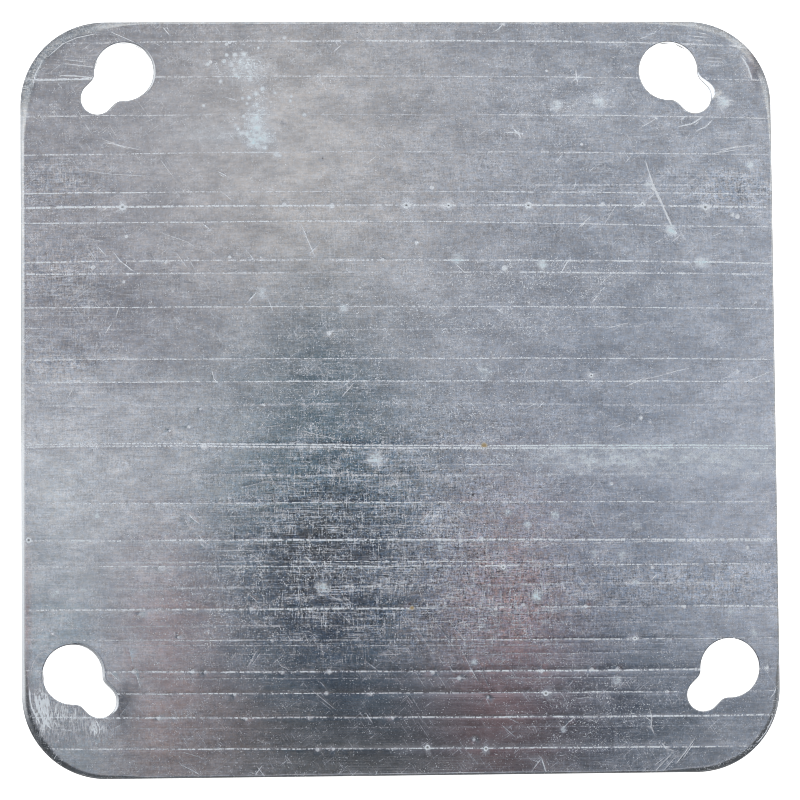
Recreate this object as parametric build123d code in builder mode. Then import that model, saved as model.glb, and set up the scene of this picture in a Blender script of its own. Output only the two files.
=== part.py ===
"""Flat blank cover for a 101.6 mm (4 in) square electrical box.

One piece of galvanised sheet steel, blanked from 1.588 mm (1/16 in) stock.
Each corner has a keyhole slot: the plate drops over a loosened screw head
through the wide end and slides so that the shank sits in the narrow end.

Frame: origin at the centre of the back face, +Z out of the front face,
+X and +Y along the sides. All dimensions are in millimetres.
"""

import math
import os

from build123d import *

os.makedirs("parts", exist_ok=True)

# ---- blank ---------------------------------------------------------------
SIDE = 101.6            # 4 in square
THICKNESS = 1.588       # 1/16 in sheet
CORNER_R = 11.3         # outline corner radius

# ---- keyhole slots -------------------------------------------------------
SCREW_SPACING = 80.96   # 3-3/16 in between neighbouring screws, both ways
SEAT_R = 2.2            # narrow end: clears the 4.17 mm shank of an 8-32 screw
HEAD_R = 3.97           # wide end: clears the screw's head, 5/16 in across
SLIDE_OFFSET = 3.6      # wide end's centre from the narrow end's, in X and in Y
NECK_R = 1.5            # blend between the wide end and the slot's straight sides

# ---- edges of the cut sheet ----------------------------------------------
ROLL_WIDTH = 1.0        # die roll round the outline, measured across the face
ROLL_DEPTH = 0.25       # and its fall at the side wall
HOLE_ROLL_R = 0.3       # smaller rounding round each slot's front edge

slide = SLIDE_OFFSET * math.sqrt(2)      # distance between the slot's two centres
half_spacing = SCREW_SPACING / 2

# A keyhole along local +X: wide end on the origin, narrow end at the far end.
with BuildSketch() as keyhole:
    Circle(HEAD_R)
    with Locations((slide, 0)):
        Circle(SEAT_R)
    with Locations((slide / 2, 0)):
        Rectangle(slide, 2 * SEAT_R)
    # the two inward corners where the straight sides leave the wide end
    neck_x = math.sqrt(HEAD_R**2 - SEAT_R**2)
    necks = [
        v
        for v in keyhole.vertices()
        if abs(v.X - neck_x) < 0.01 and abs(abs(v.Y) - SEAT_R) < 0.01
    ]
    fillet(necks, NECK_R)

# Wide ends: all four lie above (+Y of) their screws; the upper pair lies inboard
# of the screws in X, the lower pair outboard.
upper_x = half_spacing - SLIDE_OFFSET
lower_x = half_spacing + SLIDE_OFFSET
upper_y = half_spacing + SLIDE_OFFSET
lower_y = -half_spacing + SLIDE_OFFSET
slot_places = [
    Location((-upper_x, upper_y, 0), (0, 0, -135)),   # upper left, runs down and left
    Location((upper_x, upper_y, 0), (0, 0, -45)),     # upper right, runs down and right
    Location((-lower_x, lower_y, 0), (0, 0, -45)),    # lower left, runs down and right
    Location((lower_x, lower_y, 0), (0, 0, -135)),    # lower right, runs down and left
]

with BuildPart() as cover_plate:
    # the blank, with its four slots pierced through
    with BuildSketch(Plane.XY) as blank:
        RectangleRounded(SIDE, SIDE, CORNER_R)
        with Locations(*slot_places):
            add(keyhole.sketch, mode=Mode.SUBTRACT)
    extrude(amount=THICKNESS)

    # small rounding on the front edge of every slot
    front = cover_plate.faces().sort_by(Axis.Z)[-1]
    fillet([e for wire in front.inner_wires() for e in wire.edges()], HOLE_ROLL_R)

    # die roll round the outline: an arc tangent to the front face that meets the
    # side wall below it, carried along the outline's straights and corners
    straight = SIDE / 2 - CORNER_R
    with BuildLine(Plane.XY.offset(THICKNESS)) as rim:
        l1 = Line((SIDE / 2, -straight), (SIDE / 2, straight))
        c1 = CenterArc((straight, straight), CORNER_R, 0, 90)
        l2 = Line((straight, SIDE / 2), (-straight, SIDE / 2))
        c2 = CenterArc((-straight, straight), CORNER_R, 90, 90)
        l3 = Line((-SIDE / 2, straight), (-SIDE / 2, -straight))
        c3 = CenterArc((-straight, -straight), CORNER_R, 180, 90)
        l4 = Line((-straight, -SIDE / 2), (straight, -SIDE / 2))
        c4 = CenterArc((straight, -straight), CORNER_R, 270, 90)
    roll_r = (ROLL_WIDTH**2 + ROLL_DEPTH**2) / (2 * ROLL_DEPTH)
    roll_plane = Plane(
        origin=(SIDE / 2, -straight, THICKNESS), x_dir=(1, 0, 0), z_dir=(0, -1, 0)
    )
    with BuildSketch(roll_plane) as roll_section:
        with BuildLine():
            mid = math.asin(ROLL_WIDTH / roll_r) / 2
            ThreePointArc(
                (-ROLL_WIDTH, 0),
                (-ROLL_WIDTH + roll_r * math.sin(mid), -roll_r * (1 - math.cos(mid))),
                (0, -ROLL_DEPTH),
            )
            Polyline((0, -ROLL_DEPTH), (0.5, -ROLL_DEPTH), (0.5, 0.5), (-ROLL_WIDTH, 0.5), (-ROLL_WIDTH, 0))
        make_face()
    sweep(sections=roll_section.sketch, path=rim.wire(), mode=Mode.SUBTRACT)

cover_plate.part.label = "cover_plate"
export_step(cover_plate.part, "parts/cover_plate.step")

print("solids", len(cover_plate.part.solids()))
print("volume mm3", round(cover_plate.part.volume, 2))
print("box", cover_plate.part.bounding_box())
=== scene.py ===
"""Looks for a galvanised keyhole cover plate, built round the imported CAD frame.

The plate is one blanked piece of zinc-coated sheet. Its visual mesh follows the CAD
outline, slots, thickness and die roll exactly in plan, and adds what the real sheet
carries: rolling lines, scratches, pits, the sheared edge with its burnished and
broken zones, and the slight waviness that makes reflections wander. Lengths in this
file are millimetres until the mesh is made.
"""

import math

import bpy
import numpy as np
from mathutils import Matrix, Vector
from mathutils.geometry import delaunay_2d_cdt


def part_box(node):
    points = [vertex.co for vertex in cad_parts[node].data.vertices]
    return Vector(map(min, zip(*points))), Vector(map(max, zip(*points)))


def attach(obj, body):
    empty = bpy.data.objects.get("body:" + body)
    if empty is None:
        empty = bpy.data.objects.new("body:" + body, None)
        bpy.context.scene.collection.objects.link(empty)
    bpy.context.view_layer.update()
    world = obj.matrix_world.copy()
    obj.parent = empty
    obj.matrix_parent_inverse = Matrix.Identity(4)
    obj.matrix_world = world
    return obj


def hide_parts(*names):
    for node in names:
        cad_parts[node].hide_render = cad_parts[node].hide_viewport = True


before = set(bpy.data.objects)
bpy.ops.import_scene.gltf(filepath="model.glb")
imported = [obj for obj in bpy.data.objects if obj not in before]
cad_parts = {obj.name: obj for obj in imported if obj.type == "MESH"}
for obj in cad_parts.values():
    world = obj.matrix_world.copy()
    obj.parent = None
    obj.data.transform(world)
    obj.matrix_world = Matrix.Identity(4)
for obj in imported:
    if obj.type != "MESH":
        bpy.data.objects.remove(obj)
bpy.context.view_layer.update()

MM = 0.001
node_lo, node_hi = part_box("cover_plate")
HALF = (node_hi.x - node_lo.x) / 2 / MM      # half the plate's side
T = node_hi.z / MM                           # sheet thickness
R = 11.3                                     # outline corner radius
HEAD, SEAT, NECK, SLIDE = 3.97, 2.2, 1.5, 3.6 * math.sqrt(2)
SLOTS = (                                    # wide end's centre and the slot's heading
    (-36.88, 44.08, -135.0),
    (36.88, 44.08, -45.0),
    (-44.08, -36.88, -45.0),
    (44.08, -36.88, -135.0),
)

# ------------------------------------------------------------------ camera
scene = bpy.context.scene
cam_data = bpy.data.cameras.new("camera")
cam_data.lens = 148.5
cam_data.sensor_width = 36.0
cam_data.clip_start = 0.01
cam_data.clip_end = 20.0
cam = bpy.data.objects.new("camera", cam_data)
scene.collection.objects.link(cam)
cam.location = (-0.0215, -0.0263, 0.4443)
cam.rotation_euler = tuple(math.radians(a) for a in (3.356, -2.745, -0.537))
scene.camera = cam
scene.view_settings.view_transform = "Standard"
scene.view_settings.look = "None"
scene.cycles.filter_width = 1.05

# ------------------------------------------------------------------ surface features
# Rolling lines: height on the plate at x = -50, -25, 0, 25, 50, width, and how worn
# the line is near each of those five places, from 0 (none) to 9 (bright).
LINES = (
    (47.80, 48.13, 48.22, 48.06, 47.31,  0.27,  1, 2, 3, 3, 2),
    (43.01, 43.38, 43.39, 43.20, 42.74,  0.20,  3, 2, 2, 2, 2),
    (37.98, 38.18, 38.17, 38.01, 37.52,  0.20,  2, 1, 1, 2, 2),
    (32.77, 33.04, 33.13, 32.92, 32.55,  0.20,  3, 2, 1, 2, 2),
    (29.11, 29.02, 28.58, 28.51, 28.20,  0.30,  0, 0, 0, 1, 1),
    (27.61, 27.73, 27.71, 27.52, 27.15,  0.20,  5, 2, 1, 4, 3),
    (25.66, 25.82, 25.85, 25.74, 25.38,  0.34,  6, 4, 2, 4, 4),
    (23.62, 23.68, 23.67, 23.21, 22.75,  0.20,  4, 4, 3, 3, 4),
    (18.27, 18.48, 18.42, 18.21, 17.74,  0.27,  3, 2, 3, 4, 4),
    (16.72, 16.75, 16.77, 16.60, 16.23,  0.27,  3, 2, 1, 3, 3),
    (12.19, 12.19, 12.15, 11.93, 11.56,  0.20,  3, 4, 2, 4, 4),
    (9.44, 9.05, 9.03, 9.24, 9.00,  0.24,  1, 0, 1, 1, 0),
    (5.18, 5.19, 5.13, 4.98, 4.70,  0.20,  4, 3, 4, 6, 5),
    (2.11, 2.12, 2.06, 1.90, 1.70,  0.20,  3, 5, 4, 5, 5),
    (-0.82, -1.10, -0.95, -1.29, -1.30,  0.40,  2, 1, 1, 1, 1),
    (-6.24, -6.21, -6.60, -6.80, -7.00,  0.25,  4, 7, 10, 8, 6),
    (-6.54, -6.56, -6.94, -7.14, -7.36,  0.25,  4, 6, 9, 8, 6),
    (-9.49, -9.20, -9.27, -9.16, -9.43,  0.20,  1, 1, 1, 1, 1),
    (-10.75, -10.46, -10.67, -10.68, -10.78,  0.40,  1, 2, 2, 1, 1),
    (-14.04, -14.19, -14.28, -14.39, -14.63,  0.20,  2, 6, 6, 5, 5),
    (-16.14, -15.93, -16.13, -16.02, -16.33,  0.24,  1, 2, 1, 1, 1),
    (-17.47, -17.17, -17.39, -17.39, -17.69,  0.20,  1, 1, 2, 1, 0),
    (-19.03, -19.15, -19.29, -19.49, -19.63,  0.34,  2, 6, 8, 6, 6),
    (-20.45, -20.56, -20.39, -19.95, -19.90,  0.20,  1, 1, 1, 2, 5),
    (-21.95, -22.05, -22.22, -22.40, -22.50,  0.18,  1, 4, 6, 1, 0),
    (-22.52, -22.64, -22.82, -22.87, -22.95,  0.24,  3, 4, 7, 5, 5),
    (-25.90, -25.50, -25.48, -25.40, -25.67,  0.40,  1, 2, 3, 2, 1),
    (-28.28, -28.39, -28.48, -28.46, -28.68,  0.32,  4, 8, 6, 3, 5),
    (-30.98, -30.58, -30.79, -30.68, -30.44,  0.26,  1, 2, 1, 1, 1),
    (-32.22, -32.49, -32.71, -32.85, -32.89,  0.20,  2, 4, 3, 7, 2),
    (-33.04, -33.20, -33.46, -33.52, -33.72,  0.20,  0, 2, 3, 1, 1),
    (-34.77, -34.37, -34.67, -34.70, -34.70,  0.24,  0, 1, 1, 2, 1),
    (-36.31, -36.73, -36.90, -37.03, -36.98,  0.30,  2, 6, 6, 9, 3),
    (-37.30, -37.65, -37.82, -37.98, -38.00,  0.18,  0, 3, 2, 2, 0),
    (-39.39, -39.63, -39.81, -39.95, -40.00,  0.22,  1, 6, 7, 7, 2),
    (-42.50, -42.82, -43.04, -43.21, -43.22,  0.30,  3, 5, 6, 7, 6),
    (-44.11, -44.26, -44.39, -44.51, -44.56,  0.20,  1, 1, 1, 1, 0),
    (-46.67, -46.99, -47.20, -47.34, -47.43,  0.24,  4, 5, 7, 7, 5),
)
# Short scratches: strength, width, then the points they pass through.
SCRATCHES = (
    (1.00, 0.34, (-49.10, -39.30), (-48.85, -40.60), (-48.40, -41.90), (-47.60, -43.30)), (1.00, 0.26, (-48.50, -39.60), (-48.20, -41.00), (-47.70, -42.30)),
    (0.90, 0.24, (-48.00, -40.90), (-47.50, -42.00), (-47.10, -43.00)), (0.80, 0.20, (-47.60, -43.30), (-46.90, -44.10)), (0.80, 0.20, (-41.40, -43.60), (-41.20, -44.50)), (0.80, 0.20, (-40.70, -43.50), (-40.40, -44.30)),
    (0.50, 0.12, (-49.60, -36.80), (-49.40, -35.50), (-48.60, -34.10), (-47.50, -33.70)),
    (1.00, 0.26, (-49.80, -38.60), (-49.70, -40.20), (-49.50, -41.20), (-48.80, -42.60), (-48.20, -43.60)),
    (1.00, 0.24, (47.10, 45.75), (47.75, 44.60), (48.35, 42.75)),
    (0.80, 0.16, (47.60, -47.00), (48.80, -45.60), (49.90, -43.40)),
    (0.90,0.16,(-49.06,42.39),(-48.78,43.77),(-48.02,45.15)), (0.55,0.14,(-46.99,46.19),(-45.10,47.85),(-43.22,48.68),(-40.75,49.20)),
    (0.45,0.12,(-38.59,49.47),(-37.05,48.78),(-35.33,48.01)), (0.90,0.16,(-48.54,42.91),(-45.29,42.97),(-41.53,43.03)),
    (0.80,0.18,(-45.29,43.56),(-43.24,43.48),(-41.18,43.27)), (0.35,0.12,(-45.01,45.22),(-42.89,44.94),(-40.77,44.69)),
    (0.30,0.12,(-44.94,45.74),(-41.86,45.39)), (0.70,0.20,(-39.23,34.41),(-38.48,34.31)), (0.60,0.12,(-38.48,34.31),(-36.26,33.61)),
    (0.40,0.12,(-39.85,34.93),(-37.45,34.06),(-34.89,33.47)), (0.30,0.12,(-42.26,30.69),(-38.84,30.20),(-33.36,29.87)),
    (0.80,0.14,(-24.28,30.50),(-23.01,29.80)), (0.60,0.12,(-24.17,30.15),(-23.42,29.74)), (0.30,0.12,(-31.98,32.04),(-31.13,30.87),(-30.21,29.65)),
    (0.70,0.12,(-3.09,34.31),(-2.40,33.76)), (0.50,0.12,(-2.05,34.14),(-1.71,33.68)), (0.55,0.16,(-13.16,23.34),(-12.49,21.71),(-11.98,20.43)),
    (0.70,0.16,(-12.08,20.68),(-11.41,19.12)), (0.50,0.14,(-10.88,20.43),(-12.06,19.30)), (0.80,0.30,(-19.79,18.67),(-19.58,18.60)),
    (0.80,0.30,(-18.69,18.88),(-18.48,18.81)), (0.85,0.18,(-19.31,14.05),(-20.27,12.96)), (0.45,0.14,(-17.70,13.22),(-16.96,11.49)),
    (0.35,0.14,(-20.74,20.02),(-19.65,18.74)), (0.45,0.14,(-37.69,12.19),(-38.07,10.99)), (0.60,0.14,(-38.69,10.03),(-39.48,8.73)),
    (0.60,0.16,(-38.27,19.51),(-37.52,18.48),(-35.75,17.09)), (0.60,0.14,(-40.42,20.35),(-39.40,19.18)), (0.30,0.10,(-41.78,21.49),(-39.80,21.10)),
    (0.35,0.12,(-23.85,27.80),(-22.24,26.41)), (0.80,0.16,(-26.31,23.39),(-25.52,22.70)), (0.30,0.12,(-28.80,19.37),(-27.95,18.16),(-27.44,17.12)),
    (0.70,0.14,(-25.30,3.70),(-24.96,2.40),(-24.55,1.98)), (0.45,0.14,(-6.19,1.87),(-7.92,-0.11)), (0.30,0.12,(-5.77,2.90),(-7.84,1.19)),
    (0.50,0.12,(-43.73,1.59),(-44.69,-0.15)), (0.40,0.12,(-41.96,1.34),(-42.54,-0.03)), (0.50,0.14,(-4.15,31.54),(-2.93,32.58)),
    (0.30,0.12,(-0.18,31.53),(-0.88,30.56)), (0.50,0.16,(-31.55,50.05),(-30.80,49.12)), (0.50,0.14,(-31.13,50.16),(-30.79,49.64)),
    (0.35,0.10,(-32.59,47.90),(-31.97,47.56)), (0.40,0.14,(-7.28,47.87),(-8.67,46.65)), (0.35,0.12,(-23.35,40.60),(-21.47,40.08)),
    (0.40,0.12,(-50.02,1.63),(-48.84,0.94)), (0.35,0.12,(-49.85,1.12),(-48.90,0.50)), (0.50,0.14,(-48.49,3.16),(-47.81,3.67)),
    (0.30,0.12,(-32.20,22.31),(-28.27,20.92),(-27.42,20.22)), (0.30,0.12,(-26.05,20.22),(-24.52,19.18)), (0.35,0.12,(-29.99,19.55),(-28.47,17.47)),
    (0.35,0.12,(-41.79,17.71),(-40.87,17.46)), (0.70,0.16,(13.32,49.52),(13.88,49.86),(14.66,50.84)), (0.30,0.12,(17.43,50.80),(18.47,50.45)),
    (0.40,0.22,(24.23,44.27),(24.36,43.29),(24.48,42.2)), (0.60,0.20,(23.25,43.22),(26.02,43.18)), (0.60,0.22,(23.79,42.66),(24.78,43.43)),
    (0.75,0.18,(14.56,35.69),(15.94,35.72),(16.98,35.51)), (0.85,0.20,(15.70,36.17),(16.32,35.58),(16.69,34.95)), (0.60,0.14,(16.50,36.00),(15.80,35.30)),
    (0.50,0.14,(30.91,31.54),(31.62,32.41)), (0.40,0.12,(25.93,30.34),(26.84,31.10)), (0.50,0.14,(23.75,27.91),(24.11,28.95)),
    (0.35,0.12,(21.37,31.46),(22.42,32.85)), (0.95,0.20,(38.28,36.43),(40.20,36.88),(41.50,37.78)), (0.90,0.17,(40.71,35.90),(41.83,36.35),(42.72,37.22)),
    (0.90,0.20,(38.61,37.44),(39.21,37.85)), (0.60,0.14,(40.48,36.70),(40.90,37.05)), (0.35,0.14,(32.88,36.23),(34.11,36.93),(35.27,37.62)),
    (0.60,0.26,(34.99,37.69),(35.34,37.48)), (0.40,0.22,(33.59,31.84),(34.02,30.31),(34.59,28.57)), (0.50,0.38,(34.45,28.71),(35.19,27.07),(35.87,25.68)),
    (0.50,0.26,(35.80,25.85),(36.37,24.29),(37.15,22.72)), (0.50,0.12,(36.04,25.33),(36.95,23.42)), (0.80,0.42,(37.14,22.20),(37.69,21.85)),
    (0.50,0.40,(34.30,28.12),(34.72,27.87)), (0.55,0.13,(42.86,32.72),(45.38,33.45),(48.10,33.89)), (0.50,0.12,(43.63,32.86),(46.42,33.30)),
    (0.30,0.12,(43.28,33.14),(46.43,33.76)), (0.55,0.16,(24.38,22.67),(25.25,23.53),(26.06,24.22)), (0.50,0.14,(24.79,22.84),(25.15,23.29)),
    (0.50,0.14,(31.87,25.31),(32.81,25.87)), (0.40,0.12,(30.82,24.76),(31.62,25.17)), (0.35,0.12,(34.23,20.30),(35.80,21.17)),
    (0.85,0.16,(21.81,16.41),(22.41,17.41),(23.01,18.34)), (0.50,0.14,(22.59,18.34),(22.24,17.76)), (0.50,0.14,(7.66,17.86),(8.82,16.75)),
    (0.50,0.14,(25.98,12.51),(27.10,13.65)), (0.40,0.12,(26.33,12.72),(26.75,13.41)), (0.60,0.20,(13.11,11.75),(13.87,11.33)),
    (0.50,0.16,(13.38,11.20),(13.73,11.82)), (0.50,0.13,(35.82,2.71),(37.63,3.25),(39.44,3.58)), (0.60,0.14,(46.90,1.60),(48.37,2.28),(50.33,3.07)),
    (0.30,0.12,(43.16,1.90),(45.25,2.58)), (0.40,0.12,(16.70,2.48),(17.23,3.79)), (0.40,0.16,(13.27,4.16),(13.36,2.78)),
    (0.50,0.14,(40.31,48.78),(42.12,48.64)), (0.60,0.14,(41.08,49.27),(42.30,49.06)), (0.35,0.12,(40.20,48.33),(41.76,48.15)),
    (0.50,0.14,(34.28,49.04),(35.22,49.25)), (0.40,0.12,(33.05,48.44),(34.28,48.86)), (0.40,0.12,(42.08,45.84),(44.24,45.77)),
    (0.40,0.12,(42.49,45.28),(44.44,45.25)), (0.35,0.12,(42.24,44.73),(44.15,44.72)), (0.35,0.12,(43.56,39.90),(45.90,39.97)),
    (0.35,0.12,(43.38,39.48),(45.75,39.48)), (0.30,0.12,(43.14,35.58),(45.41,35.50)), (0.30,0.12,(43.31,34.88),(45.05,34.84)),
    (0.50,0.10,(47.0,46.3),(47.5,45.6)), (0.60,0.14,(45.59,47.45),(47.16,47.24)), (0.40,0.12,(37.01,20.64),(38.24,21.68)),
    (0.50,0.12,(42.59,21.48),(43.88,21.93)), (0.30,0.12,(32.17,9.40),(34.08,9.84)), (0.40,0.12,(27.66,8.91),(30.96,9.75)),
    (0.30,0.12,(27.85,23.11),(29.62,25.88)), (0.35,0.12,(38.90,18.90),(39.95,19.76)), (0.30,0.10,(27.05,14.79),(28.80,16.51)),
    (0.30,0.10,(22.88,13.43),(23.93,14.81)), (0.35,0.14,(32.59,1.97),(35.89,2.71)), (0.50,0.14,(30.50,1.12),(33.11,2.31)),
    (0.30,0.12,(-45.63,-8.00),(-41.73,-9.64),(-37.32,-11.75)), (0.75,0.16,(-28.72,-15.37),(-27.87,-16.33),(-26.92,-17.03)),
    (0.50,0.14,(-29.40,-15.16),(-28.65,-15.78)), (0.60,0.16,(-27.20,-18.46),(-26.46,-19.32),(-25.71,-19.90)), (0.60,0.20,(-26.97,-19.48),(-26.26,-20.17)),
    (0.40,0.12,(-31.91,-19.44),(-30.55,-20.81)), (0.40,0.12,(-29.16,-15.88),(-28.32,-17.76)), (0.40,0.12,(-38.43,-16.45),(-35.64,-17.33)),
    (0.35,0.12,(-37.68,-16.32),(-36.49,-17.01)), (0.90,0.18,(-12.99,-21.38),(-12.08,-22.27)), (0.50,0.14,(-12.08,-22.34),(-11.13,-23.78)),
    (0.35,0.12,(-8.14,-26.54),(-6.45,-28.06)), (0.35,0.12,(-8.76,-26.81),(-7.00,-28.36)), (0.30,0.12,(-8.61,-28.79),(-6.68,-30.65)),
    (0.40,0.14,(-9.79,-26.63),(-8.08,-27.50)), (0.55,0.14,(-20.77,-36.16),(-19.57,-34.03)), (0.40,0.12,(-20.26,-35.96),(-18.99,-34.20)),
    (0.40,0.12,(-22.98,-35.18),(-22.29,-34.17)), (0.55,0.14,(-36.56,-33.34),(-36.33,-34.36),(-36.06,-35.45)), (0.60,0.14,(-35.63,-36.81),(-35.06,-38.72)),
    (0.60,0.13,(-39.19,-36.54),(-37.60,-38.01)), (0.50,0.12,(-38.79,-37.22),(-37.84,-37.74)), (0.40,0.12,(-16.61,-35.86),(-15.05,-36.62)),
    (0.50,0.13,(-4.80,-35.64),(-3.31,-36.75)), (0.70,0.15,(-10.97,-38.30),(-10.33,-39.05)), (0.40,0.12,(-12.11,-39.37),(-8.96,-41.99)),
    (0.35,0.12,(-11.09,-40.74),(-9.57,-41.95)), (0.75,0.17,(-4.97,-42.44),(-4.12,-43.74)), (0.40,0.12,(-4.62,-42.34),(-4.29,-42.86)),
    (0.70,0.16,(-18.89,-49.24),(-19.85,-50.48)), (0.60,0.14,(-19.57,-49.40),(-18.56,-50.70)), (0.40,0.12,(-20.36,-50.20),(-19.34,-50.49)),
    (0.50,0.14,(-29.75,-49.01),(-28.33,-49.70),(-27.15,-50.39)), (0.30,0.12,(-29.51,-47.32),(-26.63,-48.20)), (0.80,0.36,(-46.90,-31.27),(-46.49,-31.55)),
    (0.60,0.26,(-47.17,-30.96),(-47.03,-31.07)), (0.50,0.14,(-48.25,-31.02),(-47.74,-30.52)), (0.35,0.12,(-33.66,-30.32),(-33.32,-29.98)),
    (0.65,0.16,(-49.19,-39.65),(-48.69,-40.67),(-47.88,-41.76)), (0.60,0.14,(-48.44,-38.81),(-48.01,-39.83),(-47.54,-41.19)),
    (0.50,0.14,(-47.60,-39.33),(-47.27,-40.35),(-47.00,-41.37)), (0.40,0.14,(-46.42,-40.70),(-46.19,-42.39)), (0.40,0.12,(-45.58,-41.04),(-45.18,-42.74)),
    (0.35,0.12,(-44.73,-40.88),(-44.40,-42.58)), (0.35,0.12,(-43.88,-40.72),(-43.55,-42.76)), (0.40,0.12,(-42.53,-41.42),(-42.81,-43.11)),
    (0.35,0.12,(-48.62,-41.52),(-47.44,-42.65)), (0.40,0.14,(-46.77,-42.72),(-46.09,-43.75)), (0.35,0.12,(-47.95,-43.12),(-46.77,-44.08)),
    (0.90,0.22,(-40.98,-42.99),(-40.64,-43.64)), (0.50,0.13,(-41.35,-43.46),(-40.85,-43.87)), (0.35,0.12,(-45.59,-44.09),(-43.56,-44.45)),
    (0.40,0.12,(-43.56,-45.13),(-43.29,-46.48)), (0.40,0.12,(-41.19,-45.49),(-40.93,-46.58)), (0.35,0.12,(-40.17,-45.17),(-40.01,-46.18)),
    (0.55,0.13,(-38.29,-39.43),(-37.44,-39.78)), (0.40,0.12,(-37.79,-42.48),(-37.11,-41.48)), (0.40,0.12,(-38.82,-44.17),(-37.46,-43.50)),
    (0.35,0.12,(-9.65,-9.37),(-8.97,-10.06)), (0.30,0.10,(-17.53,-11.70),(-14.46,-12.07)), (0.40,0.10,(-13.38,-4.54),(-8.25,-5.78)),
    (0.30,0.10,(-19.19,-4.16),(-15.42,-3.67)), (0.30,0.10,(-21.64,-12.18),(-18.21,-11.35)), (0.45,0.14,(-11.68,-50.58),(-11.41,-50.92)),
    (0.45,0.14,(-8.89,-50.78),(-8.34,-50.01)), (0.45,0.14,(-6.75,-50.91),(-6.50,-50.37)), (0.50,0.16,(-3.85,-50.94),(-3.57,-50.17)),
    (0.40,0.12,(-13.56,-50.83),(-13.21,-50.29)), (0.45,0.13,(-46.61,-48.13),(-46.10,-47.29)), (0.30,0.12,(-2.16,-33.86),(-0.36,-35.24)),
    (0.35,0.12,(-12.73,-31.37),(-11.37,-32.07)), (0.50,0.13,(-20.37,-26.53),(-19.28,-27.56)), (0.35,0.12,(-22.20,-20.89),(-21.53,-21.75)),
    (0.55,0.13,(18.55,-1.73),(19.42,-0.91)), (0.40,0.12,(16.75,-1.82),(18.21,-1.15)), (0.35,0.12,(9.18,-0.74),(10.28,-1.61)),
    (0.30,0.12,(7.70,-0.90),(8.97,-1.94)), (0.55,0.14,(31.84,-10.09),(32.61,-9.41)), (0.40,0.12,(31.05,-9.84),(31.92,-9.51)),
    (0.45,0.13,(8.65,-9.26),(11.92,-9.25),(15.43,-9.28)), (0.50,0.14,(2.70,-16.93),(3.42,-16.15),(4.29,-15.13)), (0.45,0.12,(2.97,-16.66),(3.77,-16.15)),
    (0.45,0.14,(6.27,-16.17),(7.08,-17.72)), (0.40,0.12,(8.04,-17.90),(6.68,-17.03)), (0.50,0.13,(12.19,-15.19),(12.80,-16.74)),
    (0.35,0.12,(13.05,-15.89),(13.89,-17.09)), (0.55,0.15,(25.61,-16.78),(26.11,-17.81)), (0.40,0.12,(25.34,-15.82),(25.78,-16.85)),
    (0.50,0.13,(18.32,-20.63),(19.53,-20.29),(20.57,-19.82)), (0.35,0.12,(17.30,-20.04),(18.51,-19.36)), (0.80,0.18,(33.60,-25.01),(34.48,-24.13)),
    (0.50,0.12,(39.78,-15.76),(40.41,-15.42)), (0.50,0.13,(50.00,-15.50),(50.88,-14.65)), (0.50,0.13,(22.23,-39.13),(22.92,-38.39)),
    (0.50,0.13,(21.47,-44.68),(22.17,-44.00),(23.14,-43.27)), (0.35,0.12,(23.24,-40.78),(25.64,-40.63)),
    (0.90,0.18,(18.51,-48.73),(18.87,-49.86),(19.23,-51.02)), (0.55,0.14,(18.40,-48.83),(17.29,-50.25)), (0.40,0.12,(17.13,-48.88),(18.16,-49.24)),
    (0.35,0.12,(20.91,-48.42),(21.77,-48.26)), (0.50,0.20,(33.19,-42.42),(33.45,-43.62),(33.30,-44.64),(33.76,-45.74)),
    (0.45,0.16,(32.49,-43.27),(33.44,-44.03)), (0.50,0.13,(31.87,-51.03),(32.57,-50.15)), (0.55,0.14,(33.69,-50.71),(34.81,-49.50),(36.14,-48.22)),
    (0.50,0.13,(34.79,-50.66),(36.37,-48.94)), (0.45,0.12,(33.77,-49.76),(35.16,-48.75)), (0.65,0.15,(36.63,-49.62),(37.93,-48.04),(39.23,-46.24)),
    (0.55,0.14,(37.50,-49.05),(39.05,-46.92)), (0.60,0.20,(34.78,-46.88),(35.35,-47.73)), (0.50,0.16,(35.35,-47.56),(36.48,-48.02)),
    (0.40,0.13,(34.15,-47.45),(35.19,-46.88)), (0.35,0.12,(1.74,-30.66),(2.92,-32.72),(4.10,-34.51)),
    (0.35,0.12,(4.08,-30.07),(5.50,-31.89),(7.25,-34.30)), (0.30,0.12,(6.20,-30.09),(8.23,-32.60)), (0.35,0.12,(7.47,-33.28),(8.61,-35.51),(9.89,-37.98)),
    (0.45,0.13,(8.81,-36.19),(10.16,-38.42)), (0.30,0.12,(0.72,-29.63),(2.25,-31.52)), (0.35,0.12,(6.14,-35.82),(6.64,-36.92)),
    (0.30,0.12,(10.31,-36.55),(11.59,-39.29)), (0.70,0.16,(49.49,-41.00),(49.98,-40.39),(50.27,-39.64)), (0.50,0.15,(6.29,-37.87),(9.03,-38.03)),
    (0.60,0.20,(11.04,-26.14),(11.10,-27.27)), (0.45,0.16,(13.27,-26.33),(13.36,-27.87)), (0.50,0.30,(17.56,-26.89),(18.66,-27.34)),
    (0.45,0.25,(22.21,-26.93),(23.93,-26.71)), (0.40,0.20,(23.79,-24.38),(24.53,-25.41)), (0.35,0.12,(25.18,-23.36),(26.63,-22.69)),
    (0.35,0.12,(28.02,-16.70),(30.28,-15.86)), (0.30,0.12,(31.81,-17.59),(33.89,-16.85)), (0.30,0.12,(20.49,-12.34),(21.88,-11.60)),
    (0.40,0.12,(22.55,-13.22),(23.59,-12.19)), (0.40,0.13,(25.48,-12.72),(26.19,-11.77)), (0.35,0.12,(11.06,-40.48),(11.63,-41.67)),
    (0.35,0.12,(13.08,-44.07),(14.94,-45.80)), (0.35,0.12,(4.82,-30.69),(5.67,-31.38)), (0.30,0.12,(13.77,-43.06),(15.65,-44.10)),
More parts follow.
